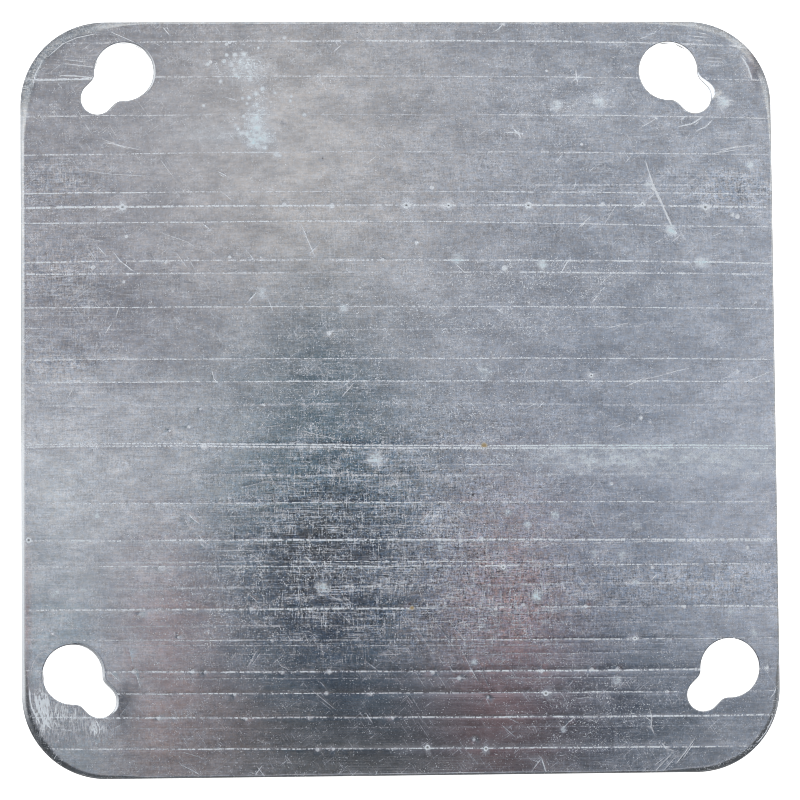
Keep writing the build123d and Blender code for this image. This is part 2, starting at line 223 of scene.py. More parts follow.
    (0.50,0.13,(29.05,-4.32),(30.26,-3.88)), (0.30,0.12,(30.60,-4.68),(31.47,-4.44)), (0.35,0.12,(0.28,-39.85),(1.47,-41.39)),
    (0.30,0.12,(11.67,-31.44),(12.88,-31.28)), (0.35,0.12,(29.10,-39.48),(29.97,-38.29)),
)
# Pits, specks and worn spots: kind, x, y, radius.
SPOTS = (
    ("blot",33.95,28.45,0.50), ("blot",36.95,22.25,0.65), ("dot",36.95,22.25,0.24),
    ("bloom",-23.03,47.78,0.22), ("bloom",-21.93,46.31,0.32), ("bloom",-20.70,46.39,0.40), ("bloom",-23.03,46.31,0.24), ("bloom",-23.40,45.46,0.26),
    ("bloom",-22.43,44.99,0.35), ("bloom",-21.27,45.26,0.30), ("bloom",-22.05,44.35,0.24), ("bloom",-21.81,43.54,0.30), ("bloom",-21.43,43.25,0.20),
    ("bloom",-20.34,44.58,0.20), ("bloom",-23.88,42.70,0.27), ("bloom",-19.87,43.01,0.32), ("bloom",-18.25,41.70,0.35), ("bloom",-19.11,41.04,0.32),
    ("bloom",-20.08,40.50,0.30), ("bloom",-20.94,40.43,0.24), ("bloom",-16.54,41.16,0.19), ("bloom",-20.34,39.69,0.22), ("bloom",-18.99,39.60,0.24),
    ("bloom",-19.11,37.84,0.30), ("bloom",-19.11,36.39,0.51), ("bloom",-18.61,34.92,0.43), ("bloom",-19.60,34.34,0.35), ("bloom",-20.34,35.42,0.32),
    ("bloom",-21.55,36.27,0.30), ("bloom",-21.19,35.65,0.30), ("bloom",-21.93,36.77,0.24), ("bloom",-17.88,33.69,0.32), ("bloom",-16.42,32.83,0.38),
    ("bloom",-15.92,32.65,0.27), ("bloom",-19.60,37.37,0.27), ("bloom",-20.81,37.98,0.24), ("bloom",-18.01,35.65,0.24), ("bloom",-14.47,40.07,0.22),
    ("bloom",-12.61,38.15,0.27), ("bloom",-14.34,40.67,0.19), ("bloom",-26.20,39.46,0.22), ("bloom",-25.59,45.08,0.27), ("bloom",-15.19,48.63,0.26),
    ("bloom",-18.73,47.28,0.18), ("bloom",19.30,17.80,0.60), ("bloom",40.80,18.00,0.62), ("bloom",36.95,22.20,0.50), ("bloom",45.36,24.38,0.30),
    ("ring",-37.15,25.71,0.31), ("ring",1.08,25.81,0.31), ("ring",6.77,25.79,0.24), ("ring",17.59,25.75,0.31), ("ring",41.67,25.42,0.31),
    ("ring",25.85,2.63,0.20), ("ring",-49.84,-18.94,0.28), ("ring",19.19,-40.05,0.28), ("ring",11.05,-47.35,0.24), ("ring",3.22,-47.09,0.28),
    ("ring",13.65,-23.09,0.24), ("ring",31.32,-32.84,0.21), ("ring",33.09,25.86,0.17), ("dot",-9.50,8.60,0.34), ("dot",-8.95,25.81,0.38),
    ("dot",-15.41,25.94,0.31), ("dot",-36.65,21.75,0.21), ("dot",-41.11,17.60,0.31), ("dot",-37.02,15.62,0.21), ("dot",-25.22,45.39,0.24),
    ("dot",-22.62,48.06,0.24), ("dot",-22.80,18.89,0.24), ("dot",-31.37,18.24,0.17), ("dot",-2.20,18.46,0.24), ("dot",4.55,28.22,0.31),
    ("dot",2.41,20.72,0.28), ("dot",20.30,44.10,0.17), ("dot",24.94,34.06,0.21), ("dot",27.71,25.88,0.28), ("dot",46.04,24.15,0.34),
    ("dot",48.36,12.43,0.14), ("dot",45.78,3.10,0.24), ("dot",14.28,17.21,0.41), ("dot",46.70,22.23,0.14), ("dot",-35.90,-36.57,0.34),
    ("dot",-28.09,-36.66,0.28), ("dot",-26.39,-36.74,0.28), ("dot",-16.18,-36.88,0.31), ("dot",-9.87,-36.85,0.38), ("dot",-10.23,-39.73,0.31),
    ("dot",-4.33,-39.87,0.31), ("dot",-32.64,-42.78,0.31), ("dot",-30.50,-42.77,0.21), ("dot",-20.99,-43.05,0.24), ("dot",-11.49,-47.19,0.31),
    ("dot",-9.44,-47.18,0.24), ("dot",-12.65,-43.00,0.28), ("dot",-20.21,-28.40,0.28), ("dot",-29.93,-32.05,0.17), ("dot",-28.41,-3.92,0.24),
    ("dot",-26.86,-1.53,0.21), ("dot",-18.31,-1.01,0.24), ("dot",-30.98,-4.42,0.17), ("dot",-22.50,-39.77,0.24), ("dot",-26.38,-6.50,0.55),
    ("dot",-35.08,-28.87,0.21), ("dot",-32.26,-22.67,0.24), ("dot",-1.39,-43.13,0.24), ("dot",25.42,-36.94,0.31), ("dot",28.86,-36.91,0.28),
    ("dot",4.01,-37.10,0.31), ("dot",18.65,-37.04,0.31), ("dot",7.56,-37.88,0.34), ("dot",9.46,-46.14,0.21), ("dot",11.40,-40.48,0.21),
    ("dot",12.56,-28.72,0.28), ("dot",16.34,-28.17,0.28), ("dot",36.15,-32.99,0.17), ("dot",35.56,-39.99,0.24), ("dot",1.25,-28.44,0.28),
    ("dot",33.80,-23.27,0.28), ("dot",38.04,-28.62,0.28), ("dot",24.70,-28.43,0.28), ("dot",10.84,-19.29,0.28), ("dot",46.70,-20.74,0.28),
    ("dot",32.52,-3.14,0.28), ("dot",28.43,-11.96,0.24), ("blot",11.36,3.20,0.96), ("blot",19.47,17.60,0.69), ("blot",7.90,18.51,0.76),
    ("blot",41.31,17.84,0.76), ("blot",47.95,31.03,0.62), ("blot",-18.55,13.98,0.83), ("blot",-7.58,11.86,0.62), ("blot",-10.63,-25.60,0.89),
    ("blot",-3.47,-8.38,1.03), ("blot",-40.73,-15.79,0.48), ("blot",-46.37,-26.12,0.76), ("blot",14.42,-15.73,0.48), ("blot",20.72,-16.12,0.55),
    ("blot",16.98,-17.46,0.48), ("blot",31.80,-17.65,0.52), ("blot",31.53,-25.30,0.48), ("blot",18.25,-27.13,0.83), ("blot",28.77,-38.38,0.55),
    ("blot",44.42,-29.37,0.55), ("blot",47.48,-32.21,0.55), ("blot",9.57,-35.86,0.48), ("blot",21.47,-44.92,0.41), ("blot",29.68,-21.52,0.69),
    ("blot",25.89,-21.31,0.55), ("blot",5.27,-20.27,0.62), ("blot",-42.47,-25.64,0.55), ("blot",27.37,39.80,0.89), ("blot",44.25,39.76,0.83),
    ("blot",21.46,39.46,0.76), ("dark",-5.37,49.33,0.15), ("dark",-10.17,32.25,0.11), ("dark",-48.21,38.03,0.14), ("dark",-2.43,50.20,0.11),
    ("dark",12.49,42.89,0.11), ("dark",47.04,1.53,0.14), ("dark",-7.34,40.85,0.09), ("dark",-17.06,45.80,0.11), ("dark",-15.64,37.19,0.09),
    ("dark",-41.31,-6.94,0.11), ("rust",11.26,-6.71,0.34), ("rust",1.32,-28.44,0.24),
)
# Soft areas, as x, y, spread in x, spread in y, amount.
HATCH = (        # fine crossed streaks
    (-9.4, -23.3, 13.0, 8.0, 1.0), (10.8, -26.0, 9.5, 6.5, 1.0), (-45.8, 29.2, 4.7, 1.9, .6),
    (-45.8, 17.0, 4.7, 4.0, .5), (-45.8, 5.0, 4.0, 2.0, .5), (45.8, 27.9, 4.0, 1.8, .7),
    (43.1, -25.3, 6.7, 2.0, .7), (29.6, -26.0, 8.0, 4.0, .35), (0.0, -11.2, 16.0, 8.0, .5),
    (-9.4, -32.8, 20.0, 5.4, .4), (-6.0, -12.0, 8.0, 4.0, .4), (-24.0, -44.0, 10.0, 4.0, .3),
    (-24.0, 36.0, 15.0, 10.0, -.28), (20.0, 27.0, 16.0, 6.0, .15), (-1.0, -41.5, 18.0, 7.0, -.62), (-28.0, -30.0, 9.0, 10.0, -.35),
)
SPECKLE = (      # tiny bright specks
    (-20.2, 45.4, 1.6, 1.6, 1.0), (-18.6, 38.0, 1.7, 3.6, 1.0), (21.6, 15.8, 9.4, 2.4, .9),
    (10.8, 13.1, 12.0, 4.0, .6), (-13.5, 5.0, 8.0, 5.4, .4), (4.0, -4.4, 16.0, 5.4, .8),
    (0.0, -22.0, 17.5, 9.4, .8), (21.6, 40.7, 6.7, 2.7, .5), (21.6, 36.0, 8.0, 4.0, .4),
    (24.3, -39.5, 8.0, 4.0, .5), (25.6, -44.2, 8.0, 4.0, .5), (-21.6, -30.1, 8.0, 8.0, .5),
    (-1.0, -41.0, 16.0, 7.0, -.5), (-5.6, -21.4, 2.2, 1.6, -.15), (10.0, 8.0, 14.0, 6.0, .5), (-14.0, 44.0, 8.0, 3.0, .3),
)
HAZE = (         # dull, scuffed films that lighten the sheet
    (40.4, -8.6, 13.0, 1.9, .40), (24.0, -8.4, 7.0, 1.3, .22), 
     (-44.0, -21.0, 4.0, 3.0, .12), (-18.9, 37.0, 1.1, 1.9, .60), (-20.6, 44.6, 1.5, 1.4, .42), (-18.6, 34.6, 1.4, .9, .48), (-24.5, 35.6, 4.0, .9, .3), (26.4, 38.9, 2.2, 1.4, .2), (42.8, 41.0, 1.5, 1.4, .15),
    (12.0, -30.0, 1.2, 2.6, .12), (34.5, 12.6, 1.8, 1.0, .12),
)
SMUDGES_AND_DENT_SHADE = (       # thin grey films that darken it; the two by the lower left slot's neck, near x -37, y -40, are painted shade of a dent
    (-31.7, 15.6, 2.6, .55, .85), (-39.8, 14.0, 5.0, 1.3, .55), (-27.0, 24.3, 1.8, .5, .6),
    (-18.2, 22.8, 2.4, .5, .7), (-14.2, 21.8, 2.0, .7, .55), (-11.2, 47.2, 2.0, .7, .6),
    (-13.5, 49.6, 2.2, .5, .5), (-13.1, 42.1, .8, 1.3, .45), (-7.4, 45.1, 1.4, .8, .35),
    (1.6, 39.3, 2.2, 1.4, .65), (8.8, 39.9, 1.8, .9, .5), (28.3, 46.1, 1.8, .6, .4),
    (38.5, 14.1, 3.2, .7, .5), (21.6, 16.4, 8.5, 1.9, .35), (13.5, 22.5, 2.0, 1.0, .4),
    (5.4, 20.5, 2.8, 1.3, .35), (-23.0, 46.5, 1.2, .8, .3), (24.0, 22.0, 6.0, 1.2, .35),
    (-30.0, 45.0, 2.0, 1.0, .3), (45.0, 10.5, 3.0, 1.4, .25), (33.0, 5.0, 3.0, 1.5, .2),
    (-29.5, 5.5, 4.0, 1.6, .25), (-8.0, 33.0, 3.0, .6, .3), (3.0, 34.0, 3.5, .7, .3),
    (23.0, 14.6, 5.0, 1.3, .5), (-37.3, -41.0, .9, 1.7, .95), (-36.4, -39.2, 1.0, .9, .5), (14.0, -47.0, 8.0, 1.0, .3), (20.0, -38.5, 5.0, 1.0, .35), (30.0, -18.0, 4.0, .9, .3),
)

STREAK = (        # bright upright rubbing
    (-48.1, -41.5, .62, 1.7, 1.5), (-46.4, -42.4, .8, 1.2, .5), (-44.4, -41.8, 1.1, 1.3, .45), (-41.8, -43.4, 2.0, .9, .25), (-40.9, -44.2, .6, .5, .8), (-45.4, -45.2, 1.6, .9, .15),
)
DENT_SHADE = (         # painted shade where the sheet is pressed in
    (48.9, 44.0, .45, 1.7, .9), (-5.6, -21.6, 1.9, 1.3, .75), (-15.2, -21.4, 1.0, .7, .55), (-17.1, -25.0, 1.4, 2.0, .35), (-37.3, -41.4, .95, 1.7, 1.0), (-36.2, -38.8, .8, .6, .4), (-50.0, -36.2, .3, 1.6, .5), (-49.9, -41.5, .3, 2.0, .4), (12.0, -31.5, 1.0, 1.0, .0),
)
WARM_REFLECTION = (          # painted reflection of warm brown surroundings
    (-50.0, -30.0, .32, 6.0, .9), (48.6, 44.8, .7, 1.8, .5), (15.2, -27.0, 2.6, 5.5, .45), (-28.5, -30.0, 3.0, 4.0, .25),
    (-21.0, -44.0, 4.0, 3.0, .3), (34.0, -2.0, 1.0, 1.0, .0),
)


def mix(a, b, t):
    return a + (b - a) * t


def smooth(t):
    t = np.clip(t, 0.0, 1.0)
    return t * t * (3 - 2 * t)


def blobs(table, x, y):
    out = np.zeros_like(x)
    for cx, cy, sx, sy, a in table:
        out += a * np.exp(-0.5 * (((x - cx) / sx) ** 2 + ((y - cy) / sy) ** 2))
    return out


# ------------------------------------------------------------------ plan geometry
def inset(x, y):
    """How far inside the outline a point is."""
    qx, qy = np.abs(x) - (HALF - R), np.abs(y) - (HALF - R)
    return R - (np.hypot(np.maximum(qx, 0), np.maximum(qy, 0)) + np.minimum(np.maximum(qx, qy), 0))


NECK_C = np.array([math.sqrt((HEAD + NECK) ** 2 - (SEAT + NECK) ** 2), SEAT + NECK])
NECK_A = math.atan2(NECK_C[1], NECK_C[0])


def slot_gap(x, y):
    """Distance from the nearest slot's edge, positive in the metal."""
    best = np.full(np.shape(x), 99.0)
    for cx, cy, deg in SLOTS:
        c, s = math.cos(math.radians(deg)), math.sin(math.radians(deg))
        lx = (x - cx) * c + (y - cy) * s
        ly = np.abs(-(x - cx) * s + (y - cy) * c)
        big = np.hypot(lx, ly) - HEAD
        line = np.where(lx < SLIDE, ly - SEAT, np.hypot(lx - SLIDE, ly) - SEAT)
        d = np.where(lx < 0, big, np.minimum(big, line))
        fx, fy = lx - NECK_C[0], ly - NECK_C[1]
        a = np.arctan2(fy, fx)
        wedge = (a <= -math.pi / 2) & (a >= NECK_A - math.pi)
        d = np.where(wedge, NECK - np.hypot(fx, fy), d)
        best = np.minimum(best, d)
    return best


def outline_loop(off, step):
    """Counter-clockwise loop, off inside the outline."""
    c, r = HALF - R, R - off
    pts = []
    n_side, n_arc = max(2, round(2 * c / step)), max(8, round(math.pi / 2 * r / step))
    for k in range(4):
        a0 = -math.pi / 2 + k * math.pi / 2
        nx, ny = math.cos(a0), math.sin(a0)               # outward normal of this side
        tx, ty = -ny, nx
        mx, my = nx * (HALF - off), ny * (HALF - off)
        for i in range(n_side):
            t = -c + 2 * c * i / n_side
            pts.append((mx + tx * t, my + ty * t))
        ccx, ccy = nx * c + tx * c, ny * c + ty * c
        for i in range(n_arc):
            a = a0 + math.pi / 2 * i / n_arc
            pts.append((ccx + r * math.cos(a), ccy + r * math.sin(a)))
    return np.array(pts)


def arc(cx, cy, r, a0, a1, step):
    n = max(3, int(math.ceil(abs(a1 - a0) * abs(r) / step)))
    a = np.linspace(a0, a1, n + 1)[:-1]
    return [(cx + r * math.cos(t), cy + r * math.sin(t)) for t in a]


def slot_loop(k, off, step):
    """Counter-clockwise loop, off into the metal round slot k."""
    h = []
    h += arc(SLIDE, 0, SEAT + off, -math.pi / 2, math.pi / 2, step)
    n = max(2, int((SLIDE - NECK_C[0]) / step))
    h += [(mix(SLIDE, NECK_C[0], i / n), SEAT + off) for i in range(n)]
    h += arc(NECK_C[0], NECK_C[1], NECK - off, -math.pi / 2, NECK_A - math.pi, step)
    h += arc(0, 0, HEAD + off, NECK_A, 2 * math.pi - NECK_A, step)
    h += arc(NECK_C[0], -NECK_C[1], NECK - off, math.pi - NECK_A, math.pi / 2, step)
    h += [(mix(NECK_C[0], SLIDE, i / n), -SEAT - off) for i in range(n)]
    h = np.array(h)
    cx, cy, deg = SLOTS[k]
    c, s = math.cos(math.radians(deg)), math.sin(math.radians(deg))
    return np.stack([cx + h[:, 0] * c - h[:, 1] * s, cy + h[:, 0] * s + h[:, 1] * c], 1)


# ------------------------------------------------------------------ heights of the front
rng = np.random.default_rng(7)
WAVES = []
for lam, amp, n in ((26.0, .0110, 6), (13.0, .0040, 10), (6.0, .0010, 12)):
    for _ in range(n):
        a = rng.normal(math.pi / 2, 0.45)                  # crests run mostly along X
        k = 2 * math.pi / (lam * rng.uniform(0.75, 1.3))
        WAVES.append((k * math.cos(a), k * math.sin(a), rng.uniform(0, 6.28), amp / math.sqrt(n)))


def waviness(x, y):
    out = np.zeros_like(x)
    for kx, ky, ph, a in WAVES:
        out += a * np.sin(kx * x + ky * y + ph)
    return out


QX = np.array([-50.0, -25.0, 0.0, 25.0, 50.0])
JITTER = [(rng.uniform(0.25, 0.5), rng.uniform(0, 6.28), rng.uniform(0.9, 1.7), rng.uniform(0, 6.28)) for _ in LINES]


def line_y(i, x):
    y = np.polyval(np.polyfit(QX, LINES[i][:5], 4), x)
    k1, p1, k2, p2 = JITTER[i]
    return y + 0.022 * np.sin(k1 * x + p1) + 0.010 * np.sin(k2 * x + p2)


def line_s(i, x):
    return np.interp(x, QX, np.array(LINES[i][6:]) / 9.0)


LINE_HW = [0.46 * row[5] for row in LINES]
FLAT = 0.4          # share of a groove's half width that its floor takes


def trapezoid(t):
    return np.clip((1 - t) / (1 - FLAT), 0, 1)


SEGS = []
for row in SCRATCHES:
    s, w, pts = row[0], row[1], np.array(row[2:], float)
    d = np.r_[0, np.cumsum(np.hypot(*np.diff(pts, axis=0).T))]
    SEGS.append((s, w * 0.52, pts, d))


def scratch_at(x, y):
    """Strongest short scratch at each point, and how deep it is."""
    m, dep = np.zeros_like(x), np.zeros_like(x)
    for s, hw, pts, d in SEGS:
        lo, hi = pts.min(0) - hw, pts.max(0) + hw
        idx = np.nonzero((x > lo[0]) & (x < hi[0]) & (y > lo[1]) & (y < hi[1]))[0]
        if not len(idx):
            continue
        px, py = x[idx], y[idx]
        bd, bt = np.full(len(idx), 9.0), np.zeros(len(idx))
        for k in range(len(pts) - 1):
            a, b = pts[k], pts[k + 1]
            L = max(1e-6, float(np.hypot(*(b - a))))
            t = np.clip(((px - a[0]) * (b[0] - a[0]) + (py - a[1]) * (b[1] - a[1])) / L ** 2, 0, 1)
            dd = np.hypot(px - a[0] - t * (b[0] - a[0]), py - a[1] - t * (b[1] - a[1]))
            bt = np.where(dd < bd, (d[k] + t * L) / d[-1], bt)
            bd = np.minimum(bd, dd)
        taper = np.clip(np.minimum(bt, 1 - bt) / 0.18 + 0.25, 0, 1)
        v = trapezoid(bd / hw) * taper
        m[idx] = np.maximum(m[idx], v * s)
        dep[idx] = np.maximum(dep[idx], v * s * hw * 0.035)
    return m, dep


def line_at(x, y):
    m, dep = np.zeros_like(x), np.zeros_like(x)
    for i in range(len(LINES)):
        hw = LINE_HW[i]
        y0 = line_y(i, x)
        idx = np.nonzero(np.abs(y - y0) < hw)[0]
        v = trapezoid(np.abs(y[idx] - y0[idx]) / hw) * line_s(i, x[idx])
        m[idx] = np.maximum(m[idx], v)
        dep[idx] = np.maximum(dep[idx], v * hw * 0.030)
    return m, dep


def spots_at(x, y):
    """(bright, dark, rust, depth) of the pits and specks."""
    bright, dark, rust, dep, pale = (np.zeros_like(x) for _ in range(5))
    for kind, cx, cy, r in SPOTS:
        idx = np.nonzero((np.abs(x - cx) < 2 * r) & (np.abs(y - cy) < 2 * r))[0]
        t = np.hypot(x[idx] - cx, y[idx] - cy) / r
        if kind == "ring":
            bright[idx] = np.maximum(bright[idx], np.interp(t, [0, .35, .55, 1.15, 1.5], [.1, .3, 1.7, 1.5, 0]))
            dark[idx] = np.maximum(dark[idx], np.interp(t, [0, .3, .6], [.8, .6, 0]))
            dep[idx] += np.interp(t, [0, .35, .75, 1.05, 1.45], [.022, .018, .002, -.001, 0])
        elif kind == "dot":
            bright[idx] = np.maximum(bright[idx], np.interp(t, [0, .5, 1.05], [.80, .65, 0]))
            dep[idx] += np.interp(t, [0, .6, 1.25], [.010, .008, 0])
        elif kind == "blot":
            pale[idx] = np.maximum(pale[idx], np.interp(t, [0, .5, 1.0, 1.5], [.66, .56, .26, 0]))
        elif kind == "dark":
            dark[idx] = np.maximum(dark[idx], np.interp(t, [0, .5, 1.0], [.75, .5, 0]))
            dep[idx] += np.interp(t, [0, .5, 1.0], [.006, .004, 0])
        elif kind == "bloom":
            bright[idx] = np.maximum(bright[idx], np.interp(t, [0, .5, 1.0, 1.5], [.22, .18, .08, 0]))
            pale[idx] = np.maximum(pale[idx], np.interp(t, [0, .5, 1.0, 1.5], [.52, .42, .20, 0]))
        else:
            rust[idx] = np.maximum(rust[idx], np.interp(t, [0, .7, 1.6], [1, .8, 0]))
            bright[idx] = np.maximum(bright[idx], np.interp(t, [0, .7, 1.6], [.6, .4, 0]))
    return bright, dark, rust, dep, pale


SLIVER = (40.25, 43.8, .447, -.894)      # burr rolled over beside one neck: where it starts and its direction


def lower_side(x, y):
    """Round the two lower corners: 0 at their upright ends, 1 at their level ends."""
    u = np.maximum(np.abs(x) - (HALF - R), 0) + 1e-6
    v = np.maximum(np.abs(y) - (HALF - R), 0) + 1e-6
    return smooth((v / (u + v) - .30) / .45)


def edge_shape(x, y):
    """Width and fall of the die roll, which the punch left larger at the corners."""
    corner = smooth((np.minimum(np.abs(x), np.abs(y)) - (HALF - R - 6)) / 9)
    top, right = y > 0, x > 0
    side_is_x = np.abs(x) > np.abs(y)
    w_side = np.where(side_is_x, np.where(right, .22, .55), np.where(top, .28, .30))
    d_side = np.where(side_is_x, np.where(right, .05, .13), np.where(top, .06, .06))
    low = lower_side(x, y)
    w_corner = np.where(top, np.where(right, 1.00, 1.50), np.where(right, .90, mix(1.25, .80, low)))
    d_corner = np.where(top, np.where(right, .17, .24), np.where(right, .12, mix(.24, .11, low)))
    ripple = 1 + 0.10 * np.sin(x * 0.83 + 1.3) * np.sin(y * 0.71 + 0.4)
    return mix(w_side, w_corner, corner) * ripple, mix(d_side, d_corner, corner)


def drawn_roll(x, y):
    """1 along the side of the left-hand slots where the sheet was drawn down a little."""
    e = .05
    to_x = (slot_gap(x + e, y) - slot_gap(x - e, y)) / (2 * e)        # 1 where the metal lies towards +X
    to_y = (slot_gap(x, y + e) - slot_gap(x, y - e)) / (2 * e)
    return smooth((to_x * .94 + to_y * .34 - .25) / .5) * np.where(x < 0, np.where(y < 0, 1.0, .75), 0)


def along_burr(x, y):
    return (x - SLIVER[0]) * SLIVER[2] + (y - SLIVER[1]) * SLIVER[3]


def burr_reach(x, y):
    return np.interp(along_burr(x, y), [0, .3, 1.6, 2.6, 3.4, 4.0, 4.5], [0, .20, .50, .68, .72, .55, 0])


def burr(x, y):
    s = along_burr(x, y)
    aside = (x - SLIVER[0]) * -SLIVER[3] + (y - SLIVER[1]) * SLIVER[2]
    return smooth(s / .8) * smooth((4.8 - s) / .9) * smooth((2.6 - np.abs(aside)) / .6) * (aside > -.6)


def slot_shape(x, y):
    b = burr(x, y)
    p = drawn_roll(x, y)
    return 0.12 + 0.30 * p, 0.06 * (1 - b) + 0.10 * p


def height(x, y, fine=True):
    w, d = edge_shape(x, y)
    z = -d * np.clip(1 - inset(x, y) / w, 0, 1) ** 2.2
    sw, sd = slot_shape(x, y)
    z -= sd * np.clip(1 - np.maximum(slot_gap(x, y), 0) / sw, 0, 1) ** 2.4
    g = np.maximum(slot_gap(x, y), 0)
    r = burr_reach(x, y)
    z -= 0.20 * r * burr(x, y) * np.where(g < r, .04 + .96 * g / (r + 1e-6), np.clip(1 - (g - r) / 1.5, 0, 1))      # behind the burr the face falls away
    z += waviness(x, y) - 0.022                       # the crests just reach the face
    if fine:
        z -= np.maximum(line_at(x, y)[1], scratch_at(x, y)[1]) + spots_at(x, y)[3]
    return np.minimum(T + z, T)


def slopes(x, y):
    """Analytic-looking normals: the whole height, large shape and marks alike, sampled 0.012 mm to either side."""
    e = 0.012
    gx = (height(x + e, y) - height(x - e, y)) / (2 * e)
    gy = (height(x, y + e) - height(x, y - e)) / (2 * e)
    n = np.stack([-gx, -gy, np.ones_like(gx)], 1)
    return n / np.linalg.norm(n, axis=1)[:, None]


# ------------------------------------------------------------------ triangulation of the front
verts2, edges2 = [], []


def add_chain(pts, closed=False):
    base = len(verts2)
    verts2.extend(map(tuple, pts))
    n = len(pts)
    edges2.extend((base + i, base + i + 1) for i in range(n - 1))
    if closed:
        edges2.append((base + n - 1, base))


def add_clipped(x, y):
    """A chain, cut where it would leave the metal."""
    ok = (inset(x, y) > 0.07) & (slot_gap(x, y) > 0.05)
    start = None
    for i in range(len(x) + 1):
        inside = i < len(x) and ok[i]
        if inside and start is None:
            start = i
        if not inside and start is not None:
            if i - start > 1:
                add_chain(np.stack([x[start:i], y[start:i]], 1))
            start = None


OUT_STEP, SLOT_STEP = 0.45, 0.25
add_chain(outline_loop(0.0, OUT_STEP), True)
for off, k in ((.06, 1), (.14, 1), (.25, 1), (.40, 1), (.60, 1.1), (.85, 1.2), (1.15, 1.4), (1.55, 1.8)):
    add_chain(outline_loop(off, OUT_STEP * k), True)
for k in range(4):
    for off, m in ((0, 1), (.04, 1), (.09, 1), (.14, 1), (.28, 1.1), (.36, 1.1), (.42, 1.1), (.48, 1.2), (.58, 1.3)):
        add_chain(slot_loop(k, off, SLOT_STEP * m), True)
    if k == 1:
        for off in (.66, .76, .88, 1.0):
            add_chain(slot_loop(k, off, SLOT_STEP * 1.3), True)
for i in range(len(LINES)):
    hw = LINE_HW[i]
    for f in (-1, -FLAT, FLAT, 1):
        x = np.arange(-50.72, 50.73, 1.06 if abs(f) < 1 else 1.3)
        add_clipped(x, line_y(i, x) + f * hw)
for s, hw, pts, d in SEGS:
    n = max(2, int(d[-1] / 0.7) + 1)
    t = np.linspace(0, d[-1], n + 1)
    cx, cy = np.interp(t, d, pts[:, 0]), np.interp(t, d, pts[:, 1])
    tx, ty = np.gradient(cx), np.gradient(cy)
    L = np.hypot(tx, ty)
    nx, ny = -ty / L, tx / L
    for f in (-1, -FLAT, FLAT, 1):
        add_clipped(cx + nx * f * hw, cy + ny * f * hw)
for kind, cx, cy, r in SPOTS:
    radii = {"ring": (.35, .75, 1.05, 1.45), "dot": (.6, 1.25), "blot": (.5, 1.0, 1.5), "bloom": (.5, 1.0, 1.5), "dark": (.5, 1.0), "rust": (.7, 1.6)}[kind]
    for q in radii:
        a = np.linspace(0, 2 * math.pi, 9 if q < 1.2 else 11)[:-1] + q
        ring = np.stack([cx + r * q * np.cos(a), cy + r * q * np.sin(a)], 1)
        if inset(ring[:, 0], ring[:, 1]).min() > 0.08 and slot_gap(ring[:, 0], ring[:, 1]).min() > 0.06:
            add_chain(ring, True)
    if inset(np.array([cx]), np.array([cy]))[0] > 0.08:
        verts2.append((cx, cy))
G = 0.95
gx, gy = np.meshgrid(np.arange(-HALF + 0.6, HALF - 0.5, G), np.arange(-HALF + 0.6, HALF - 0.5, G))
gx[1::2] += G / 2
gx, gy = gx.ravel() + rng.uniform(-.12, .12, gx.size), gy.ravel() + rng.uniform(-.12, .12, gy.size)
ok = (inset(gx, gy) > 1.8) & (slot_gap(gx, gy) > 0.75)
near = np.zeros(gx.size, bool)
for i in range(len(LINES)):
    near |= np.abs(gy - line_y(i, gx)) < LINE_HW[i] + 0.12
ok &= ~near
verts2.extend(zip(gx[ok].tolist(), gy[ok].tolist()))

cdt = delaunay_2d_cdt([Vector(p) for p in verts2], edges2, [], 0, 1e-6, False)
P = np.array([tuple(v) for v in cdt[0]])
F = np.array(cdt[2])
c = P[F].mean(1)
F = F[(slot_gap(c[:, 0], c[:, 1]) > 0) & (inset(c[:, 0], c[:, 1]) > 0)]
area = np.cross(P[F[:, 1]] - P[F[:, 0]], P[F[:, 2]] - P[F[:, 0]])
F = F[np.abs(area) > 1e-9]
area = np.cross(P[F[:, 1]] - P[F[:, 0]], P[F[:, 2]] - P[F[:, 0]])
F[area < 0] = F[area < 0][:, ::-1]
used = np.unique(F)
remap = -np.ones(len(P), int)
remap[used] = np.arange(len(used))
P, F = P[used], remap[F]


def boundary_loops(F):
    """Loops of edges with a face on one side only, walked with the metal on the left."""
    e = np.concatenate([F[:, [0, 1]], F[:, [1, 2]], F[:, [2, 0]]])
    pairs = set(map(tuple, e.tolist()))
    nxt = {a: b for a, b in pairs if (b, a) not in pairs}
    loops = []
    while nxt:
        a = next(iter(nxt))
        loop = [a]
        b = nxt.pop(a)
        while b != a:
            loop.append(b)
            b = nxt.pop(b)
        loops.append(loop)
    return sorted(loops, key=len, reverse=True)


loops = boundary_loops(F)
assert len(loops) == 5, len(loops)
NF = len(P)
co = [np.stack([P[:, 0], P[:, 1], height(P[:, 0], P[:, 1])], 1)]
front_n = slopes(P[:, 0], P[:, 1])
faces = [tuple(f) for f in F.tolist()]
zone = [0] * len(faces)              # 0 front, 1 wall, 2 back
uv = []                              # one (u, v) per face corner
U0 = 0.662 / (2 * HALF)              # UV units for one millimetre of the front
for f in F:
    for i in f:
        uv.append((0.004 + (P[i, 0] + HALF) * U0, 0.004 + (P[i, 1] + HALF) * U0))

